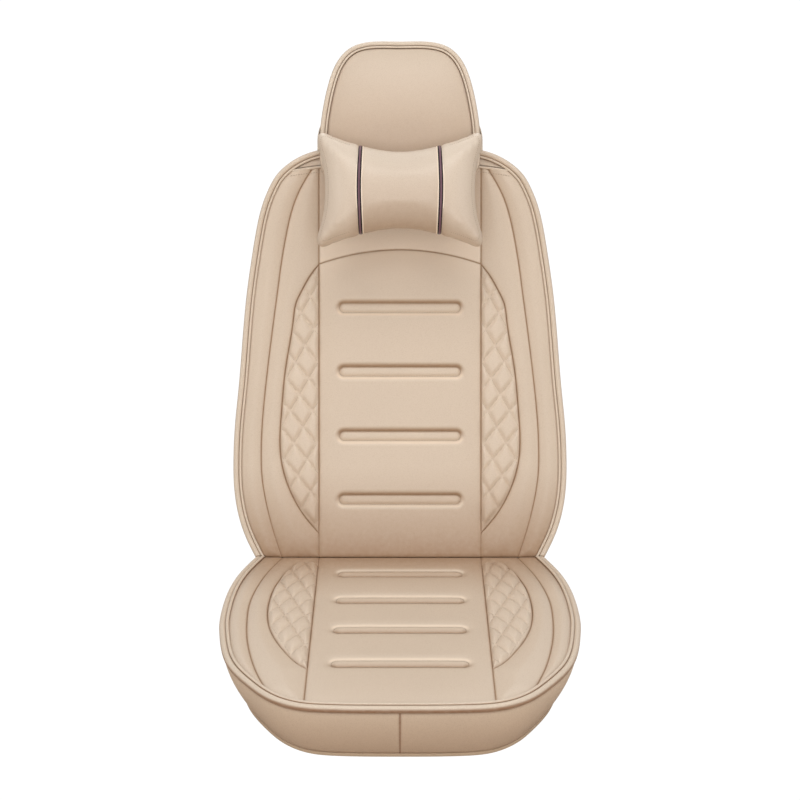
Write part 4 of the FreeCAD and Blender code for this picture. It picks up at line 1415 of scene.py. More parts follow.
    def build_sponge(self, near: float = 14.0, behind: float = 6.3, thick: float = 8.0) -> None:
        """Sponge backing of the centre panel.

        Args:
            near: Where it starts along the cover.
            behind: How far it lies behind the face.
            thick: Its thickness.
        """
        half = self.centre - 1.5
        loop = loop_of(straight((-half, near), (half, near)),
                       straight((half, self.sponge_end), (-half, self.sponge_end)), step=6.0)

        def law(points: Points, distance: Points) -> Points:
            """Height of the sponge."""
            pores = 0.15 * np.sin(points[:, 0] / 9) * np.sin(points[:, 1] / 11)
            return -behind + rolled(distance, 1.6, 3.0) + pores - 0.15
        pad = Pad(f"{self.prefix}_sponge_backing", loop, law, floor=-behind - thick,
                  spacing=9.0, rings=(0.8, 2.0, 3.6))
        self.pad_piece(pad, SPONGE, f"{self.prefix}_centre_sponge", fill=1.0)


@dataclass(kw_only=True)
class BackrestCover(CoverFace):
    """Backrest cover: its front, the hood over the slot, side walls, rear panel and pocket.

    Attributes:
        slot_height: Middle of the headrest slot.
        slot_drop: How far the slot falls towards its ends, at slot_half from the middle.
        deep: Depth of the side walls behind the face.
    """
    slot_height: float = 634.0
    slot_drop: float = 14.0
    slot_half: float = 172.0
    arch_rise: float = 23.0
    deep: float = 96.0

    def slot_line(self, height: float) -> Points:
        """Line that runs across the cover at a height of the slot's middle."""
        across = np.arange(self.slot_half + 60, -self.slot_half - 61, -4.0)
        return np.column_stack([across, self.hem_height(across, height)])

    def bolster_end(self) -> tuple[Points, Points]:
        """Cut the bolster's seams off at the slot's hem.

        Returns:
            The bolster seam, and the rim seam with the hem between them.
        """
        hem = self.slot_line(self.slot_height - 2.0)
        seam, rim = until(self.bolster_line, hem), until(self.seam, hem)
        between = hem[(hem[:, 0] < rim[-1][0] - 1) & (hem[:, 0] > seam[-1][0] + 1)]
        return seam, np.concatenate([rim, between])

    def inner_loop(self, side: int) -> Points:
        """Outline of one inner bolster, up to the slot's hem.

        Args:
            side: Side of the cover.

        Returns:
            The outline.
        """
        hem = self.slot_line(self.slot_height - 2.0)
        far = self.bolster_end()[0][-1]
        hem = hem[(hem[:, 0] < far[0] - 1) & (hem[:, 0] > self.centre + 1)]
        foot = (self.centre, float(self.hem_height(self.centre)))
        return self.beside_centre(side, foot, np.concatenate([[foot], hem[::-1]]))

    def arch(self) -> Points:
        """Draw the arched seam over the centre panel.

        Returns:
            The line, from right to left.
        """
        across = np.linspace(self.centre, -self.centre, 60)
        rise = self.arch_rise * (1 - (across / self.centre) ** 2)
        return np.column_stack([across, self.arc[-1][1] + rise])

    def centre_loop(self) -> Points:
        """Outline of the centre panel."""
        arch = self.arch()
        return loop_of(straight((self.centre, 0), arch[0]), arch,
                       straight((-self.centre, 0), (self.centre, 0)))

    def painted_channel_shade(self, points: Points) -> Points:
        """Painted shading of the channels, less a painted light below the arched seam that offsets the
        pillow's shadow.
        """
        # Painted light on the centre panel's top, where the pillow's shadow falls.
        painted_light = 0.55 * bell(self.arc[-1][1] + 20.0 - points[:, 1], 48.0)
        return super().painted_channel_shade(points) - painted_light

    def hem_height(self, across: Points | float, middle: float | None = None) -> Points | float:
        """Height of the hem under the slot, or of a line like it through another middle."""
        top = self.slot_height - 2.0 if middle is None else middle
        return top - self.slot_drop * (across / self.slot_half) ** 2

    def sewn_lines(self, loop: Points) -> list[Points]:
        """Leave the hem under the slot out of an outline.

        Args:
            loop: The outline.

        Returns:
            The parts of it that are sewn down.
        """
        ring = ring_closed(loop)
        free = np.abs(ring[:, 1] - self.hem_height(ring[:, 0])) < 1.0
        return [ring[i:i + 2] for i in range(len(loop)) if not (free[i] and free[i + 1])]

    def build_yoke(self) -> None:
        """Yoke between the arched seam and the slot."""
        arch = self.arch()[::-1]
        hem = self.slot_line(self.slot_height - 2.0)
        hem = hem[np.abs(hem[:, 0]) < self.centre - 1]
        foot = float(self.hem_height(self.centre))
        loop = loop_of(arch, straight(arch[-1], (self.centre, foot)), hem,
                       straight((-self.centre, foot), arch[0]))
        # Painted light on the yoke's lower part against the pillow's shadow, turning to painted shade on
        # its upper part close under the pillow.
        pad = Pad("back_yoke_leather", loop, self.plain_law(3.0), spacing=5.0, seams=self.sewn_lines(loop),
                  painted_shading=lambda flat: 0.7 * clamped((flat[:, 1] - 500) / 36) - 0.45)
        self.pad_piece(pad, HIDE, "back_yoke_panel")

    def build_hood(self) -> None:
        """Hood above the slot."""
        edge = self.slot_line(self.slot_height + 1.5)
        rim = after(self.seam, edge)
        between = edge[np.abs(edge[:, 0]) < rim[0][0] - 1]
        whole = both_sides(rim)
        loop = loop_of(whole, np.concatenate([whole[-1:], between[::-1], whole[:1]]))
        pad = Pad("back_hood_leather", loop, self.hood_law, seams=[whole], spacing=4.0,
                  rings=(0.7, 1.6, 2.8))
        self.pad_piece(pad, HIDE, "back_hood")

    def hood_law(self, points: Points, distance: Points) -> Points:
        """The hood lies a little behind the face."""
        return -1.0 + self.soft_edge(distance)

    def build_hem(self) -> None:
        """Folded hem under the slot and its stitches."""
        hem = self.slot_line(self.slot_height - 2.0)
        reach = float(until(self.seam, hem)[-1][0]) - 2.0
        blank = self.piping.cord(raised(even(hem[np.abs(hem[:, 0]) < reach], 4.0), 0.6), 2.4)
        # Halve the painted shade on the hem cord's lower side.
        blank.seam *= 0.5
        self.make("back_slot_hem", blank, PIPING_HIDE)
        line = self.slot_line(self.slot_height - 10.0)
        line = line[np.abs(line[:, 0]) < min(self.bolster_end()[1][:, 0].max(), reach + 4)]
        height = np.zeros(len(line))
        for pad in self.pads.values():
            if "leather" in pad.name and "hood" not in pad.name:
                held = inside(line, pad.loop)
                height[held] = pad.height(line[held])
        self.thread("back_hem_stitches", [stitch_row(raised(line, height + 0.2), pitch=4.2, radius=0.5)])

    def wall_line(self, inset: float, side: int) -> Points:
        """Line of a side wall from the bite line to the middle of the top.

        Args:
            inset: Distance inside the cover's outline.
            side: Side of the cover.

        Returns:
            The line, in the face.
        """
        line = even(beside(self.rim, inset), 6.0)
        line[-1, 0], line[0, 1] = 0.15, 0.6
        return flipped(line, side)

    def build_walls(self) -> None:
        """Side walls with a stitched seam near the rear."""
        depth = np.linspace(0, 1, 26)
        rows = []
        for word, side in SIDES.items():
            base, inner = self.wall_line(0.0, side), self.wall_line(1.0, side)
            outward = unit(base - inner)
            turned = clamped((depth - 0.94) / 0.06) ** 2
            swell = -2.6 + 1.8 * np.sin(math.pi * depth) ** 0.8 - 2.0 * turned
            grid = np.empty((len(base), len(depth), 3))
            grid[..., :2] = base[:, None] + swell[None, :, None] * outward[:, None]
            grid[..., 2] = -4.2 - (self.deep - 4.6) * depth[None]
            # Dark seam lines with painted shade along the wall's front and rear edges and at its middle.
            shade = np.tile(bell(depth * 90, 2.2) + bell((1 - depth) * 90, 1.6), (len(base), 1))
            gap = np.abs(base[:, 0])
            shade = np.maximum(shade, bell(gap, 1.6)[:, None])
            blank = shell(grid, -3.4 * side, seam=shade)
            self.make(f"back_side_leather_{word}", blank, HIDE, f"back_gusset_{word}",
                      flat=(0.905, 0.098), held="stretched", rests_on=["back_rear_leather"])
            lane = grid[:, 21].copy()
            lane[:, :2] += 0.25 * outward
            rows.append(self.wall_stitches(lane, outward))
        self.thread("back_side_stitches", rows)

    @staticmethod
    def wall_stitches(lane: Points, outward: Points) -> Blank:
        """Stitches along a wall, proud of it.

        Args:
            lane: Line that they follow.
            outward: Direction out of the wall at each of its points.

        Returns:
            The stitches.
        """
        line = even(np.column_stack([lane, outward]), 4.4)
        middle = (line[1:] + line[:-1]) / 2
        return stitches(middle[:, :3], line[1:, :3] - line[:-1, :3], 3.2, 0.45, raised(middle[:, 3:5], 0.0))

    def build_rear(self) -> None:
        """Rear panel down to its hem, with gentle slack."""
        line = even(beside(self.rim, 2.6), 5.0)
        line[-1, 0], line[0, 1] = 0.0, 0.0
        drop = 28.0
        whole = both_sides(line)
        loop = loop_of(whole, straight(whole[-1] - (0, drop), whole[0] - (0, drop)), step=5.0)
        pad = Pad("back_rear_leather", loop, self.rear_law, floor=-self.deep, spacing=7.0,
                  rings=(0.8, 1.8, 3.2, 6.0))
        self.make(pad.name, pad.local(), HIDE, "back_rear_panel", flat=(0.540, 0.692), area=0.335,
                  held="stretched")
        hem = straight((-215.0, -drop + 7), (215.0, -drop + 7), 4.0)
        height = self.rear_law(hem, np.full(len(hem), 7.0)) - 0.2
        self.thread("back_rear_stitches",
                    [stitch_row(raised(hem, height), pitch=4.4, radius=0.5, up=BEHIND)])

    def rear_law(self, points: Points, distance: Points) -> Points:
        """Rear face: turned in at its edge, with soft slack between.

        Args:
            points: Points in the face.
            distance: Their distances to the seam.

        Returns:
            A height for each.
        """
        u, v = points[:, 0], points[:, 1]
        slack = np.sin(u / 61 + 1.3 * np.sin(v / 170)) * np.sin(v / 88 + 0.8)
        sag = 0.8 * bell(np.abs(u) - 214, 12) * np.sin(v / 21)
        return -99.4 - crowned(distance, 1.4, 26) - rolled(distance, 2.2, 5.0) \
            - (0.7 * slack + 0.5 * sag) * crowned(distance, 1.0, 40)

    def build_pocket(self) -> None:
        """Map pocket with a gathered elastic mouth."""
        half, low, high = 170.0, 60.0, 330.0

        def lifted(across: Points, along: Points) -> tuple[Points, Points]:
            """Distance to the pocket's seam, and the share of its full lift there."""
            near = np.minimum(half - np.abs(across), along - low)
            return near, 1 - (1 - clamped(near / 12)) ** 2
        across, along = np.meshgrid(np.linspace(-half, half, 86), np.linspace(low, high, 60))
        near, lift = lifted(across, along)
        slack = 0.9 * np.sin(across / 37 + along / 90) * np.sin(along / 46) * lift
        gather = 0.55 * np.sin(across / 2.9) * clamped((along - high + 34) / 34) ** 2
        grid = np.stack([across, along, -101.6 - 10.4 * lift + slack - gather], axis=2)
        # Dark seam line with painted shade along the pocket's sewn edges.
        self.make("back_pocket_leather", shell(grid, 1.8, bell(near, 1.8)), HIDE,
                  "rear_pocket", flat=(0.352, 0.280), held="stretched", rests_on=["back_rear_leather"])
        corners = [(4 - half, high - 2), (4 - half, low + 4), (half - 4, low + 4), (half - 4, high - 2)]
        track = np.concatenate([straight(a, b, 4.0)[:-1] for a, b in zip(corners, corners[1:])])
        row = raised(track, -101.9 - 10.4 * lifted(*track.T)[1])
        self.thread("back_pocket_stitches", [stitch_row(row, pitch=4.0, radius=0.5, up=BEHIND)])
        self.build_pocket_mouth(half, high)

    def build_pocket_mouth(self, half: float, low: float, wide: float = 12.0) -> None:
        """Gathered elastic along the pocket's mouth.

        Args:
            half: Half length of the mouth.
            low: Lower edge of the elastic.
            wide: Width of the elastic.
        """
        across, along = np.meshgrid(np.linspace(-half, half, 361), np.linspace(low + 0.4, low + wide, 7))
        share = (along - low) / wide
        ease = clamped((half - np.abs(across)) / 16)
        gather = 0.75 * np.sin(across / 2.9) * (0.4 + 0.6 * share) * ease
        out = -110.8 - 1.1 * np.sin(math.pi * share) - gather + 8.6 * (1 - ease) ** 2
        blank = shell(np.stack([across, along, out], axis=2), 2.0)
        self.make("back_pocket_elastic", blank, ELASTIC, "pocket_elastic", flat=(0.36, 0.0125),
                  held="gathered", rests_on=["back_pocket_leather"])

    def build_hook_loops(self, rim: float = 2.0, window: float = 8.3) -> None:
        """Elastic loops inside the rear hem that the hooks hang from.

        Args:
            rim: Width of the elastic round the window.
            window: Length of the window that the hook's eye passes through.
        """
        for word in SIDES:
            low, high = box_of(f"hook_loop_{word}")
            half, (x, _, z) = (high[0] - low[0]) / 2, (low + high) / 2
            near, far, reach = low[1] + rim / 2, low[1] + 1.5 * rim + window, half - rim / 2
            corners = [(x + reach, near, z), (x + reach, far, z), (x - reach, far, z), (x - reach, near, z)]
            ring = sweep(rounded(corners, 1.6, closed=True), OUT, strap_section(rim, 1.4, 0.3), closed=True)
            tail = straight((x, far - rim / 2, z), (x, high[1] - 0.2, z), 1.5)
            strap = sweep(tail, OUT, strap_section(2 * half, 1.4, 0.3))
            self.make(f"hook_loop_elastic_{word}", joined([ring, strap]), ELASTIC,
                      f"hook_loop_{word}", frame=SHARED)

    def build(self) -> None:
        """Build and dress the whole backrest cover."""
        for build in (self.build_centre, self.build_quilts, self.build_bolsters, self.build_yoke,
                      self.build_hood, self.build_hem, self.build_piping, self.build_sponge,
                      self.build_walls, self.build_rear, self.build_pocket, self.build_hook_loops):
            build()


@dataclass(kw_only=True)
class CushionCover(CoverFace):
    """Cushion cover: its top, the skirt round it, the tuck flap and the anchor cords.

    Attributes:
        hem: Height of the hem's top in the shared frame.
        taper: How far the hem is drawn in under the cushion.
    """
    hem: float = -60.0
    taper: float = 27.0

    def drawn(self, inset: float, count: int = 90) -> Points:
        """The outline drawn in evenly, from the bite line to the middle of the front.

        Args:
            inset: How far it is drawn in.
            count: Steps along it.

        Returns:
            The right half, from the bite line to the middle of the front.
        """
        line = even(self.rim, np.linalg.norm(np.diff(self.rim, axis=0), axis=1).sum() / count)
        half, length = self.rim[:, 0].max(), self.rim[:, 1].max()
        return line * np.array([(half - inset) / half, (length - inset) / length])

    def build_skirt(self) -> None:
        """Both halves of the skirt, seamed at the middle of the front."""
        down = np.linspace(0, 1, 26)
        near = np.array([(0.5,), (0.75,), (0.87,), (0.93,), (0.97,), (1.0,)])
        for word, side in SIDES.items():
            upper, lower = self.drawn(2.4), self.drawn(2.0 + self.taper)
            for line in (upper, lower):
                line[0, 1], line[-1, 0] = 0.7, 0.02
            upper, lower = (np.concatenate([line[:-1], line[-2] + near * (line[-1] - line[-2])])
                            for line in (upper, lower))
            top = self.cover.world(raised(flipped(upper, side), -5.6)) / MM
            foot = raised(lower * (side, -1), self.hem)
            way = unit(foot[:, :2] - np.array([0.0, -150.0]))
            swell = 5.2 * np.sin(math.pi * down ** 0.85) - 1.2 * bell(down, 0.05)
            grid = top[:, None] + (foot - top)[:, None] * down[None, :, None]
            grid[..., :2] += swell[None, :, None] * way[:, None]
            away = np.abs(upper[:, :1])
            grid[..., 1] += bell(away, 3.0) * np.sin(math.pi * down)
            # Dark seam lines with painted shade under the cord and at the middle seam, then painted shade
            # darkening towards the hem.
            shade = np.maximum(bell(down * 70, 2.4), bell(away, 1.8))
            shade = np.maximum(shade, 0.1 + 0.25 * down)
            self.make(f"seat_skirt_leather_{word}", shell(grid, 3.6 * side, clamped(shade)),
                      SKIRT_HIDE, f"skirt_{word}", frame=SHARED, flat=(0.665, 0.085), held="stretched")

    def build_hem(self, wide: float = 2.5, high: float = 2.85) -> None:
        """Hem binding folded over the skirt's lower edge.

        Args:
            wide: Half its thickness.
            high: Half its height.
        """
        half = self.drawn(4.0 + self.taper)
        half[0, 1], half[-1, 0] = 0.8, 0.0
        path = raised(both_sides(half) * (1, -1), -63.1)
        turn = full_turn(18)
        section = np.column_stack([np.cos(turn), np.sin(turn)])
        section = (wide, high) * np.sign(section) * np.abs(section) ** 0.55
        # Dark seam line with painted shade along the binding's top.
        shade = clamped(3 * (section[:, 1] / high - 0.75))
        self.make("seat_hem_binding", sweep(path, OUT, section, shade=shade), BINDING_HIDE,
                  "hem_binding", frame=SHARED)

    def build_flap(self) -> None:
        """Tuck flap that goes down through the bite."""
        low, high = box_of("tuck_flap")
        across, down = np.meshgrid(np.linspace(low[0], high[0], 60), np.linspace(high[2], low[2], 14))
        wave = 0.5 * np.sin(across / 23) * (high[2] - down) / (high[2] - low[2])
        grid = np.stack([across, (low[1] + high[1]) / 2 - 0.8 + wave, down], axis=2)
        self.make("tuck_flap_cloth", shell(grid, 1.6), BACKING, "tuck_flap", frame=SHARED,
                  flat=(0.236, 0.035), held="hung")

    def build_anchor_cords(self) -> None:
        """Elastic cords of the anchors, each with its knot."""
        for word in SIDES:
            low, high = box_of(f"anchor_cord_{word}")
            x, y = (low[:2] + high[:2]) / 2
            knot = low[2] + 4.0
            path = straight((x, y, high[2]), (x, y, knot - 3.0), 1.5)
            turn = np.linspace(0, 4 * math.pi, 44)
            coil = np.column_stack([x + 2.2 * np.cos(turn), y + 2.2 * np.sin(turn),
                                    knot + 1.5 * np.sin(turn * 1.5)])
            cord = joined([sweep(path, ALONG, round_section(1.9, 12)),
                           sweep(coil, OUT, round_section(1.6, 10))])
            self.make(f"anchor_cord_elastic_{word}", cord, ELASTIC, f"anchor_cord_{word}", frame=SHARED)

    def build_straps(self) -> None:
        """Webbing row under the cushion."""
        for word in SIDES:
            low, high = box_of(f"under_strap_{word}")
            long, wide, thick = high - low
            middle = (low + high) / 2
            path = straight((low[0], *middle[1:]), (high[0], *middle[1:]), 6.0)
            self.make(f"under_strap_webbing_{word}", sweep(path, OUT, strap_section(wide, thick)),
                      WEBBING, f"under_strap_{word}", frame=SHARED,
                      flat=(round(float(long) * MM, 3), 0.02), held="stretched")

    def build(self) -> None:
        """Build and dress the whole cushion cover."""
        for build in (self.build_centre, self.build_quilts, self.build_bolsters, self.build_piping,
                      self.build_sponge, self.build_skirt, self.build_hem, self.build_flap,
                      self.build_anchor_cords, self.build_straps):
            build()


# ---------- headrest and neck pillow
@dataclass(kw_only=True)
class HeadrestCover(SewnPart):
    """Headrest cover: domed front, double piping, side wall, rear panel and closing flap.

    Attributes:
        side: Right side from the corner upwards.
        chin: Height below which the wall stands in front of the backrest.
        chin_face: Height of the wall's rear edge there.
    """
    half: float = 125.5
    low: float = 590.0
    corner: float = 40.0
    side: Knots = (
        (125.5, 630.0), (125.5, 655.5), (124.5, 680.4), (121.4, 703.9), (111.3, 750.9),
        (93.5, 790.9), (76.0, 807.0), (50.2, 815.1))
    face: float = 59.5
    chin: float = 668.0
    chin_face: float = 5.3
    rear: float = -23.7
    flap_half: float = 80.0
    body: str = "headrest_cover"

    def __post_init__(self) -> None:
        """Lay the outline out anticlockwise from the flap's right end."""
        over = through([*self.side, (0.0, 816.0), *[(-x, y) for x, y in self.side[::-1]]])
        turn = np.linspace(-math.pi / 2, 0, 16)
        bend = np.column_stack([self.half - self.corner + self.corner * np.cos(turn),
                                self.low + self.corner + self.corner * np.sin(turn)])
        start = straight((self.flap_half + 0.3, self.low), bend[0])
        side = np.concatenate([start[:-1], bend])
        self.line = np.concatenate([side, over[1:-1], flipped(side, LEFT)[::-1]])
        self.loop = loop_of(self.line)

    @staticmethod
    def lean(points: Points) -> Points:
        """How far the cover falls back towards its top."""
        return -0.00119 * np.maximum(points[:, 1] - 700.0, 0.0) ** 2

    def front_law(self, points: Points, distance: Points) -> Points:
        """Domed front, pressed flat behind the pillow.

        Args:
            points: Points in the face.
            distance: Their distances to the seam.

        Returns:
            A height for each.
        """
        free = clamped((points[:, 1] - 640.0) / 60.0)
        free = free * free * (3 - 2 * free)
        dome = crowned(distance, 1.0, 26.0)
        return self.face + rolled(distance, 1.6, 5.0) + dome * (3.2 + 8.8 * free) + self.lean(points)

    def build_front(self) -> None:
        """Front panel and both cords."""
        # Painted shade, darker towards the lower part of the headrest front.
        pad = Pad("headrest_front_leather", drawn_in(self.loop, 10.9), self.front_law, spacing=5.0,
                  shade_reach=1.0, painted_shading=lambda flat: 0.5 * clamped((800.0 - flat[:, 1]) / 190.0))
        blank = pad.local(lambda flat, near: self.face - 6.0 + self.lean(flat))
        self.make(pad.name, blank, HIDE, "headrest_front_panel")
        for kind, inset, radius, lift in (("outer", 3.9, 3.9, 0.2), ("inner", 9.6, 1.75, 1.6)):
            line = even(ring_closed(drawn_in(self.loop, inset)), 4.0)[:-1]
            cord = Piping().cord(raised(line, self.face + lift + self.lean(line)), radius, closed=True)
            self.make(f"headrest_{kind}_piping", cord, PIPING_HIDE, f"headrest_welt_{kind}")

    def build_wall(self) -> None:
        """Side wall, open where the flap closes it."""
        base, inner = beside(even(self.line, 4.0), 1.6), beside(even(self.line, 4.0), 2.6)
        front = (self.face - 2.5 + self.lean(base))[:, None]
        share = clamped((base[:, 1:] - self.chin + 4.5) / 5.0)
        back = self.chin_face + 0.3 + (self.rear - self.chin_face) * share
        depth = np.linspace(0, 1, 24)
        swell = 2.4 * np.sin(math.pi * depth) - 1.8 * clamped((depth - 0.92) / 0.08) ** 2
        run = (front - back) * depth
        grid = np.empty((*run.shape, 3))
        grid[..., :2] = base[:, None] + swell[None, :, None] * (base - inner)[:, None]
        grid[..., 2] = front - run
        # Dark seam lines with painted shade along the wall's front and rear edges.
        shade = bell(run, 2.5) + 0.8 * bell(front - back - run, 1.6)
        self.make("headrest_side_leather", shell(grid, -3.4, clamped(shade)), HIDE,
                  "headrest_gusset", flat=(0.60, 0.082), area=0.0415, held="stretched")

    def build_rear(self) -> None:
        """Rear panel above the chin."""
        inset = drawn_in(self.loop, 2.6)
        upper = inset[inset[:, 1] > self.chin + 0.5]
        first = int(np.argmax(np.linalg.norm(np.roll(upper, 1, axis=0) - upper, axis=1)))
        upper = np.roll(upper, -first, axis=0)
        loop = loop_of(upper, np.array([(upper[-1][0], self.chin), (upper[0][0], self.chin)]))
        pad = Pad("headrest_rear_leather", loop, floor=-24.2, spacing=6.0, law=lambda points, distance:
                  -27.6 - crowned(distance, 3.2, 24.0) - rolled(distance, 2.2, 6.0))
        self.make(pad.name, pad.local(), HIDE, "headrest_rear_panel", flat=(0.246, 0.146), area=0.0325,
                  held="stretched")

    def build_flap(self) -> None:
        """Closing flap under the headrest, hinged at its front."""
        hinge = self.face - 4.2
        across, out = np.meshgrid(np.linspace(-self.flap_half + 0.3, self.flap_half - 0.3, 50),
                                  np.linspace(hinge, self.chin_face + 0.4, 16))
        near = np.minimum(np.minimum(self.flap_half - np.abs(across), out - self.chin_face), hinge - out)
        sag = 593.2 - 0.8 * np.sin(across / 31) * clamped(near / 20)
        # Dark seam line with painted shade along the hinge.
        blank = shell(np.stack([across, sag, out], axis=2), -1.8, bell(hinge - out, 2.0))
        SewnPart(body="headrest_flap").make("headrest_flap_leather", blank, HIDE, "headrest_flap",
                                            flat=(0.1594, 0.0496), held="hung")

    def build(self) -> None:
        """Build and dress the whole headrest cover."""
        self.build_front()
        self.build_wall()
        self.build_rear()
        self.build_flap()


@dataclass(kw_only=True)
class NeckPillow(SewnPart):
    """Bow-tie neck pillow in three panels, with two cords, a zip and its elastic band.

    Attributes:
        edge: First quarter of the outline from its middle, about the pillow's own centre.
        centre: Height of the pillow's centre up the backrest.
        cap: How far the simulated cloth may move.
    """
    edge: Knots = (
        (0.0, 59.0), (62.0, 70.0), (104.1, 84.0), (119.4, 87.1), (127.0, 79.2),
        (123.8, 52.8), (117.5, 17.6), (116.8, 0.0))
    centre: float = 574.5
    rear: float = 66.2
    thick: float = 89.0
    seam: float = 60.5
    cap: float = 9.0
    body: str = "neck_pillow"

    def __post_init__(self) -> None:
        """Lay the whole outline out anticlockwise."""
        quarter = list(self.edge)
        upper = quarter[::-1] + [(-x, y) for x, y in quarter[1:]]
        lower = [(x, -y) for x, y in upper[-2:0:-1]]
        self.loop = through(upper + lower, closed=True) + (0.0, self.centre)

    def bag(self) -> Blank:
        """Sew the pillow before it is filled.

        Returns:
            A closed bag, somewhat smaller than it ends.
        """
        loop = drawn_in(self.loop, 4.0)
        apart = np.linalg.norm(np.diff(loop, axis=0), axis=1) > 1.0
        pad = Pad("bag", loop[np.append(True, apart)], lambda points, distance: distance,
                  spacing=6.0, rings=(1.2, 3.0, 5.5, 9.0))
        flat, faces = pad.flat()
        round_off = np.sqrt(1 - (1 - clamped(distance_to(flat, pad.sewn()) / 44.0)) ** 2)
        lobe = 0.84 + 0.12 * clamped(np.abs(flat[:, 0]) / 95.0) ** 2
        top = self.middle + round_off * lobe * (self.thick / 2 - 3.0) + 0.3
        under = self.middle - round_off * (self.thick / 2 - 2.0) - 0.3
        return closed_up(raised(flat, top), raised(flat, under), faces, top * 0)

    @property
    def middle(self) -> float:
        """Height of the pillow's centre above the backrest's face."""
        return self.rear + self.thick / 2

    def inflated(self) -> tuple[Points, list]:
        """Fill the bag as cloth under pressure.

        Returns:
            Its points in the backrest's frame, in millimetres, and its faces.
        """
        blank = self.bag()
        bag = bpy.data.objects.new("pillow_bag", outward_mesh("pillow_bag", Blank(
            blank.points * MM, blank.faces)))
        bpy.context.collection.objects.link(bag)
        remesh = bag.modifiers.new("remesh", "REMESH")
        remesh.mode, remesh.voxel_size = "VOXEL", 0.005
        start = self._evaluated(bag)
        bag.modifiers.clear()
        bag.data = start
        cloth = bag.modifiers.new("cloth", "CLOTH")
        cloth.settings.use_pressure = True
        cloth.settings.uniform_pressure_force = 4.0
        cloth.settings.effector_weights.gravity = 0.0
        scene = bpy.context.scene
        for number in range(1, 21):
            scene.frame_set(number)
        moved = self._evaluated(bag)
        scene.frame_set(1)
        rest = self._places(start)
        shift = self._places(moved) - rest
        length = np.linalg.norm(shift, axis=1)
        held = np.minimum(length, self.cap * MM) / np.maximum(length, 1e-9)
        start.vertices.foreach_set("co", (rest + shift * held[:, None]).ravel())
        bag.modifiers.clear()
        smooth = bag.modifiers.new("smooth", "SMOOTH")
        smooth.factor, smooth.iterations = 0.5, 4
        bag.modifiers.new("finer", "SUBSURF").levels = 1
        done = self._evaluated(bag)
        bpy.data.objects.remove(bag)
        return self._places(done) / MM, [list(face.vertices) for face in done.polygons]

    @staticmethod
    def _places(mesh: bpy.types.Mesh) -> Points:
        """Places of a mesh's vertices.

        Args:
            mesh: The mesh.

        Returns:
            One row for each vertex.
        """
        places = np.empty(len(mesh.vertices) * 3)
        mesh.vertices.foreach_get("co", places)
        return places.reshape(-1, 3)

    @staticmethod
    def _evaluated(piece: bpy.types.Object) -> bpy.types.Mesh:
        """A piece's mesh with its modifiers applied."""
        graph = bpy.context.evaluated_depsgraph_get()
        return bpy.data.meshes.new_from_object(piece.evaluated_get(graph))

    def settled(self, points: Points) -> Points:
        """Fit the filled pillow to its place: its size, the cinched seams and the flat rear.

        Args:
            points: Points of the filled pillow.

        Returns:
            The points in their final place.
        """
        own = points - (0.0, self.centre, self.middle)
        reach = np.array([127.0, 87.3, self.thick / 2])
        own = np.where(own > 0, own * reach / own.max(0), own * reach / -own.min(0))
        rim = (self.loop - (0.0, self.centre))[self.loop[:, 1] > self.centre + 40]
        rim = rim[np.argsort(rim[:, 0])]
        columns = np.arange(0.0, 105.0, 4.0)
        across, tall = np.abs(own[:, 0]), np.abs(own[:, 1])
        grown = [np.interp(at, *rim.T) / tall[np.abs(across - at) < 4.0].max() for at in columns]
        own[:, 1] *= np.interp(across, [*columns, 118.0], [*grown, 1.0])
        away = np.abs(np.abs(own[:, 0]) - self.seam)
        pinch = 1 - 0.022 * bell(away, 7.0) - 0.02 * bell(away, 2.2)
        own[:, 1:] *= pinch[:, None]
        own[:, 2] = np.maximum(own[:, 2], -self.thick / 2)
        return own + (0.0, self.centre, self.middle)

    def build_shells(self) -> None:
        """Shell panels between the cords, each closed, and the tree that finds its surface."""
        points, faces = self.inflated()
        points = self.settled(points)
        self.tree = BVHTree.FromPolygons([Vector(p) for p in points], faces)
        for word, cuts in (("left", ((-self.seam - 0.1, 1.0),)),
                           ("centre", ((-self.seam + 0.1, -1.0), (self.seam - 0.1, 1.0))),
                           ("right", ((self.seam + 0.1, -1.0),))):
            panel = self.cut_panel(points, faces, cuts)
            across, along = panel.points[:, 0], panel.points[:, 1]
            away = np.abs(across) - self.seam
            # Painted shade beside the cords, and painted shade darkening the lower part of the pillow.
            near = 0.55 * bell(np.abs(away) - 1.0, 2.4)
            lower = clamped((self.centre + 60.0 - along) / 120.0)
            lower *= 1 - 0.5 * clamped(away / 20.0)
            panel.seam = np.maximum(near, 0.6 * lower ** 1.4)
            nodes = [f"pillow_shell_{word}"] + ["pillow_filling"] * (word == "centre")
            self.make(f"pillow_{word}_leather", panel, PILLOW_HIDE, *nodes)

    @staticmethod
    def cut_panel(points: Points, faces: list, cuts: Knots) -> Blank:
        """Cut one panel from the filled pillow.

        Args:
            points: Points of the pillow.
            faces: Its faces.
            cuts: Where each cut lies across it, and on which side the rest is cleared.

        Returns:
            The panel, closed where it is cut.
        """
        work = bmesh.new()
        verts = [work.verts.new(p) for p in points]
        for face in faces:
            work.faces.new([verts[i] for i in face])
        for at, way in cuts:
            cut = bmesh.ops.bisect_plane(
                work, geom=work.verts[:] + work.edges[:] + work.faces[:],
                plane_co=(at, 0, 0), plane_no=(way, 0, 0), clear_outer=True)
            edges = [e for e in cut["geom_cut"] if isinstance(e, bmesh.types.BMEdge)]
            bmesh.ops.edgeloop_fill(work, edges=edges)
        work.verts.index_update()
        kept = np.array([tuple(v.co) for v in work.verts])
        sides = [[v.index for v in f.verts] for f in work.faces]
        work.free()
        return Blank(kept, sides)

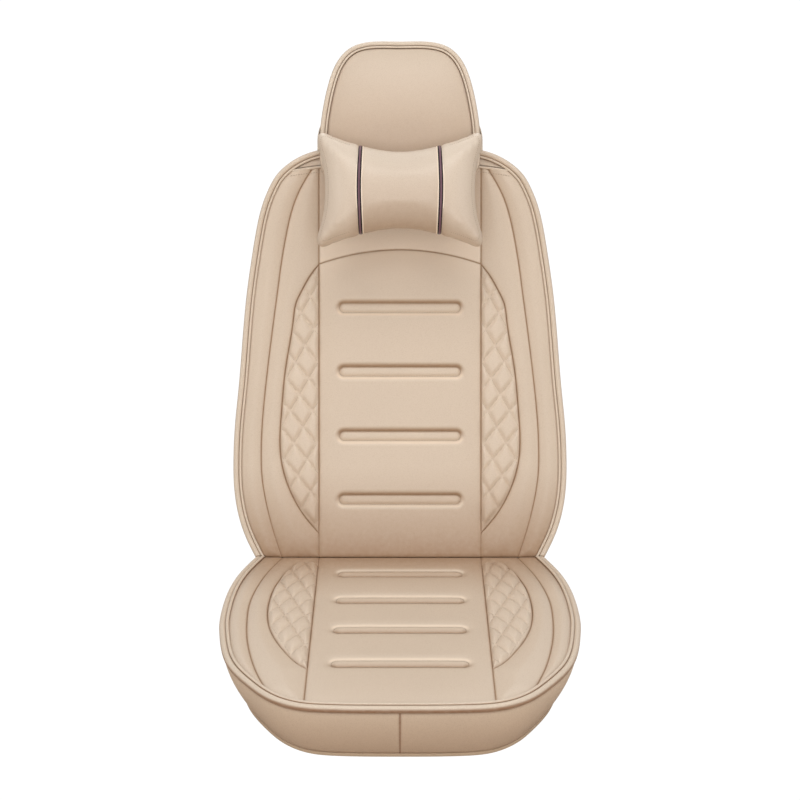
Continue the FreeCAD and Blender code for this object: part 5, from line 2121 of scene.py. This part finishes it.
    def surface(self, start: Sequence[float], way: Sequence[float]) -> tuple[Points, Points]:
        """Find where a ray first meets the pillow.

        Args:
            start: Start of the ray.
            way: Its direction.

        Returns:
            The place, and the outward normal there.
        """
        spot, normal, _, _ = self.tree.ray_cast(Vector(start), Vector(way))
        if spot is None:
            raise ValueError(f"nothing at {start}")
        return np.array(spot), np.array(normal)

    def build_cords(self) -> None:
        """Dark piping cords with painted shade on their sides, leaving a painted highlight on top, and a
        light edge on both sides with painted highlight.
        """
        turn = full_turn(120)
        ways = np.column_stack([0 * turn, np.cos(turn), np.sin(turn)])
        for word, side in SIDES.items():
            middle = np.array([side * self.seam, self.centre, self.middle])
            line = np.array([self.surface(middle + 200 * way, -way)[0] for way in ways])
            line[:, 0] += side * 1.8 * np.sin(turn).clip(0) ** 2
            around = wrapped(line)
            out = np.cross(around[2:] - around[:-2], ACROSS)
            out = unit(out * np.sign((out * ways).sum(1))[:, None])
            for name, finish, shift, lift, radius, flat in (
                    ("cord", PLUM_PIPING, 0.0, 0.5, 3.3, 0.65),
                    ("inner_edge", PIPING_HIDE, -4.1, 0.6, 1.0, 1.0),
                    ("outer_edge", PIPING_HIDE, 4.1, 0.6, 1.0, 1.0)):
                path = line + lift * out + (side * shift, 0.0, 0.0)
                section = round_section(radius, 24, flat)
                # Painted shade on all but the top of the cord, leaving its plum colour as a painted
                # highlight; the edges get full painted highlight.
                shade = clamped(7.0 * (1.03 - section[:, 1] / (radius * flat)))
                dark = name == "cord"
                self.make(f"pillow_{name}_{word}",
                          sweep(path, out, section, True, shade if dark else shade * 0 - 1),
                          finish, *[f"pillow_cord_{word}"] * dark)

    def build_stitches(self) -> None:
        """Stitches along the seams of both lobes."""
        rows = []
        line = ring_closed(drawn_in(self.loop, 7.5))
        for side in SIDES.values():
            kept = line[side * line[:, 0] > self.seam + 14]
            gaps = np.linalg.norm(np.diff(kept, axis=0), axis=1)
            if gaps.max() > 20:
                kept = np.roll(kept, -int(np.argmax(gaps)) - 1, axis=0)
            place, normal = np.array([self.surface((*spot, 300.0), BEHIND)
                                      for spot in even(kept, 3.2)]).swapaxes(0, 1)
            rows.append(stitches((place[1:] + place[:-1]) / 2, place[1:] - place[:-1], 2.2,
                                 up=(normal[1:] + normal[:-1]) / 2))
        self.make("pillow_stitches", joined(rows), THREAD)

    def build_band(self, width: float = 25.0, front: float = 652.5, behind: float = 692.5) -> None:
        """Elastic band round the headrest.

        Args:
            width: Width of the band.
            front: Height of its middle at the pillow.
            behind: Height of its middle behind the headrest.
        """
        half, tucked, before, rear = 128.0, 106.5, 65.2, -31.85
        path = rounded([(tucked, front, before), (half, front, before), (half, behind, rear),
                        (-half, behind, rear), (-half, front, before), (-tucked, front, before)], 2.4,
                       step=0.8)
        path = even(path, 1.6)
        share = np.linspace(-0.5, 0.5, 11)
        grid = np.repeat(path[:, None], len(share), axis=1)
        grid[..., 1] += width * share
        across, up = np.transpose(HeadrestCover.side)
        rim = np.interp(grid[..., 1], up, across) + 2.4
        grid[..., 0] = np.clip(grid[..., 0], -rim, rim)
        ribs = np.cos(10 * math.pi * share) > 0.6
        self.make("pillow_band_elastic", shell(grid, -1.3, 0.25 * np.tile(ribs, (len(path), 1))),
                  ELASTIC, "pillow_band", flat=(0.523, 0.025), area=0.01248, held="stretched")

    def build_zip(self, half: float = 58.0, wide: float = 11.6) -> None:
        """Zip tape with its teeth.

        Args:
            half: Half length of the tape.
            wide: Width of the tape.
        """
        along = self.centre - 45.0
        across, up = np.meshgrid(np.linspace(-half, half, 60), along + np.linspace(-wide / 2, wide / 2, 9))
        fold = 0.35 * bell(up - along, 1.6)
        tape = shell(np.stack([across, up, 64.7 - fold], axis=2), 0.7)
        self.make("pillow_zip_tape", tape, ZIP_TAPE, "pillow_zip")
        spots = np.arange(-half + 11.0, half - 10.0, 1.7)
        place = raised(raised(spots[:, None], along), 64.35)
        teeth = stitches(place, np.tile(ALONG, (len(spots), 1)), 3.0, 0.55, BEHIND)
        self.make("pillow_zip_teeth", teeth, ZIP_METAL)

    def build(self) -> None:
        """Build and dress the whole pillow."""
        self.build_shells()
        self.build_cords()
        self.build_stitches()
        self.build_band()
        self.build_zip()


# ---------- hardware and studio
HARDWARE = {
    STRAP_PLASTIC: ("buckle_socket", "buckle_plug", "anchor_toggle_left", "anchor_toggle_right",
                    "band_slider"),
    HOOK_STEEL: ("hook_left", "hook_right"),
    ZIP_METAL: ("zip_slider",),
}


def dress_hardware() -> None:
    """Put its finish on every hard part, which keeps its own shape."""
    for finish, names in HARDWARE.items():
        for name in names:
            part = bpy.data.objects[name]
            if not part.material_slots:
                part.data.materials.append(None)
            for slot in part.material_slots:
                slot.link, slot.material = "OBJECT", finish.material()
            log.info("%s: %s", name, finish.name)


@dataclass
class Studio:
    """Pale floor, soft lights and the camera."""
    floor: float = -0.0662
    camera: tuple[float, float, float] = (0.0, -2.536, 1.296)
    pitch: float = 68.0
    lens: float = 79.8
    glow: float = 1.05

    @staticmethod
    def seen_only(tree: Tree, plain: Node, seen: Node, out: Node) -> None:
        """Show one shader to the camera, and light the set with another.

        Args:
            tree: Tree of the nodes.
            plain: Shader that lights the set.
            seen: Shader that the camera sees.
            out: Output node.
        """
        mix = add_node(tree, "ShaderNodeMixShader")
        path = add_node(tree, "ShaderNodeLightPath")
        for socket, value in zip(mix.inputs, (path.outputs["Is Camera Ray"], plain.outputs[0],
                                              seen.outputs[0])):
            feed(tree, socket, value)
        feed(tree, out.inputs[0], mix.outputs[0])

    def build(self) -> None:
        """Build the studio."""
        scene = bpy.context.scene
        eye = bpy.data.cameras.new("camera")
        eye.lens, eye.sensor_width = self.lens, 36.0
        camera = bpy.data.objects.new("camera", eye)
        camera.location = self.camera
        camera.rotation_euler = (math.radians(self.pitch), 0.0, 0.0)
        bpy.context.collection.objects.link(camera)
        scene.camera = camera
        self.build_floor()
        self.light("key_softbox", (0.0, -1.3, 2.85), (0.0, -0.1, 0.3), (2.8, 1.8), 36.0)
        self.light("front_fill", (0.0, -3.2, 0.95), (0.0, 0.0, 0.3), (1.8, 1.0), 20.0)
        self.light("rear_softbox", (0.0, 1.9, 2.0), (0.0, 0.2, 0.4), (1.8, 1.0), 20.0)
        for word, side in SIDES.items():
            self.light(f"{word}_strip", (2.2 * side, -0.7, 1.1), (0.0, 0.0, 0.3), (0.5, 1.6), 7.0)
        world = bpy.data.worlds.new("studio")
        world.use_nodes = True
        tree = world.node_tree
        plain = tree.nodes["Background"]
        plain.inputs["Color"].default_value = WHITE
        plain.inputs["Strength"].default_value = 0.44
        backdrop = add_node(tree, "ShaderNodeBackground", Color=WHITE, Strength=self.glow)
        self.seen_only(tree, plain, backdrop, tree.nodes["World Output"])
        scene.world = world
        scene.view_settings.view_transform = "Standard"
        scene.view_settings.look = "None"

    def build_floor(self, size: float = 9.0) -> None:
        """Plain pale floor.

        Args:
            size: Half its length.
        """
        mesh = bpy.data.meshes.new("floor")
        mesh.from_pydata([(x * size, y * size, self.floor) for x, y in
                          ((-1, -1), (1, -1), (1, 1), (-1, 1))], [], [[0, 1, 2, 3]])
        made = bpy.data.materials.new("studio_floor")
        made.use_nodes = True
        tree = made.node_tree
        shader = tree.nodes["Principled BSDF"]
        shader.inputs["Base Color"].default_value = (0.60, 0.52, 0.44, 1.0)
        shader.inputs["Roughness"].default_value = 0.9
        self.seen_only(tree, shader, add_node(tree, "ShaderNodeEmission", Strength=self.glow),
                       tree.nodes["Material Output"])
        mesh.materials.append(made)
        floor = bpy.data.objects.new("floor", mesh)
        bpy.context.collection.objects.link(floor)

    @staticmethod
    def light(name: str, place: Sequence[float], aim: Sequence[float],
              size: tuple[float, float], power: float) -> None:
        """Add one soft area light.

        Args:
            name: Name of the light.
            place: Where it stands.
            aim: Point that it looks at.
            size: Width and height of its face.
            power: Power in watts.
        """
        lamp = bpy.data.lights.new(name, "AREA")
        lamp.shape, lamp.size, lamp.size_y = "RECTANGLE", size[0], size[1]
        lamp.energy = power
        holder = bpy.data.objects.new(name, lamp)
        holder.location = place
        holder.rotation_euler = (Vector(aim) - Vector(place)).to_track_quat("-Z", "Y").to_euler()
        bpy.context.collection.objects.link(holder)


BACKREST = BackrestCover(
    prefix="back", body="backrest_cover", cover=BACK,
    edge=[(231, 0), (249, 38), (260, 75), (266, 124), (266.4, 151), (263.5, 217), (258.6, 266),
          (250.7, 364), (244, 431), (237, 480), (229, 528), (219.5, 566), (209, 592),
          (198, 611), (182, 627), (162, 640), (135, 650.3), (85, 656.4), (0, 658)],
    bolster=[(189, 0), (202, 40), (214, 87), (221, 132), (222, 173), (219, 231), (213, 290),
             (204, 364), (195, 432), (190, 469), (184, 505), (176, 543), (162, 584),
             (144, 616)],
    crescent=[(129.5, 38), (151, 63), (173, 100), (185, 132), (191, 163), (192, 195),
              (189, 241), (183, 303), (171, 378), (166, 408), (157, 427), (146, 447),
              (129.5, 469)],
    channels=(92.0, 194.0, 297.0, 399.0))
CUSHION_COVER = CushionCover(
    prefix="seat", body="cushion_cover", cover=CUSHION,
    edge=[(231, 0), (252, 63), (264, 132), (267, 188), (266, 242), (263, 270), (257, 312),
          (240, 374), (211, 425), (178, 466), (137, 490), (98, 496), (0, 498)],
    bolster=[(188, 0), (206, 52), (220, 112), (227, 173), (226, 232), (221, 289), (212.5, 339),
             (201, 387), (187, 430)],
    crescent=[(129.5, 34), (139, 24), (151, 21), (166, 33), (182, 67), (193, 112), (198, 163),
              (197, 213), (191.5, 251), (179, 294), (159, 339), (143, 366), (129.5, 381)],
    channels=(65.0, 160.0, 260.0, 366.0), channel_radius=9.5, channel_depth=4.2,
    channel_rise=4.2, channel_lip=15.0, painted_lip_shade=(0.5, 4.5), cell=(15.0, 31.0),
    sponge_end=474.0,
    piping=Piping(outer_radius=5.2, inner_radius=2.6, outer_lift=-2.0, inner_lift=1.9))


def main() -> None:
    """Build every cover in order, dress the hard parts and light the set."""
    logging.basicConfig(level=logging.INFO, format="%(message)s")
    BACKREST.build()
    CUSHION_COVER.build()
    HeadrestCover().build()
    NeckPillow().build()
    dress_hardware()
    Studio().build()


if __name__ == "__main__":
    main()
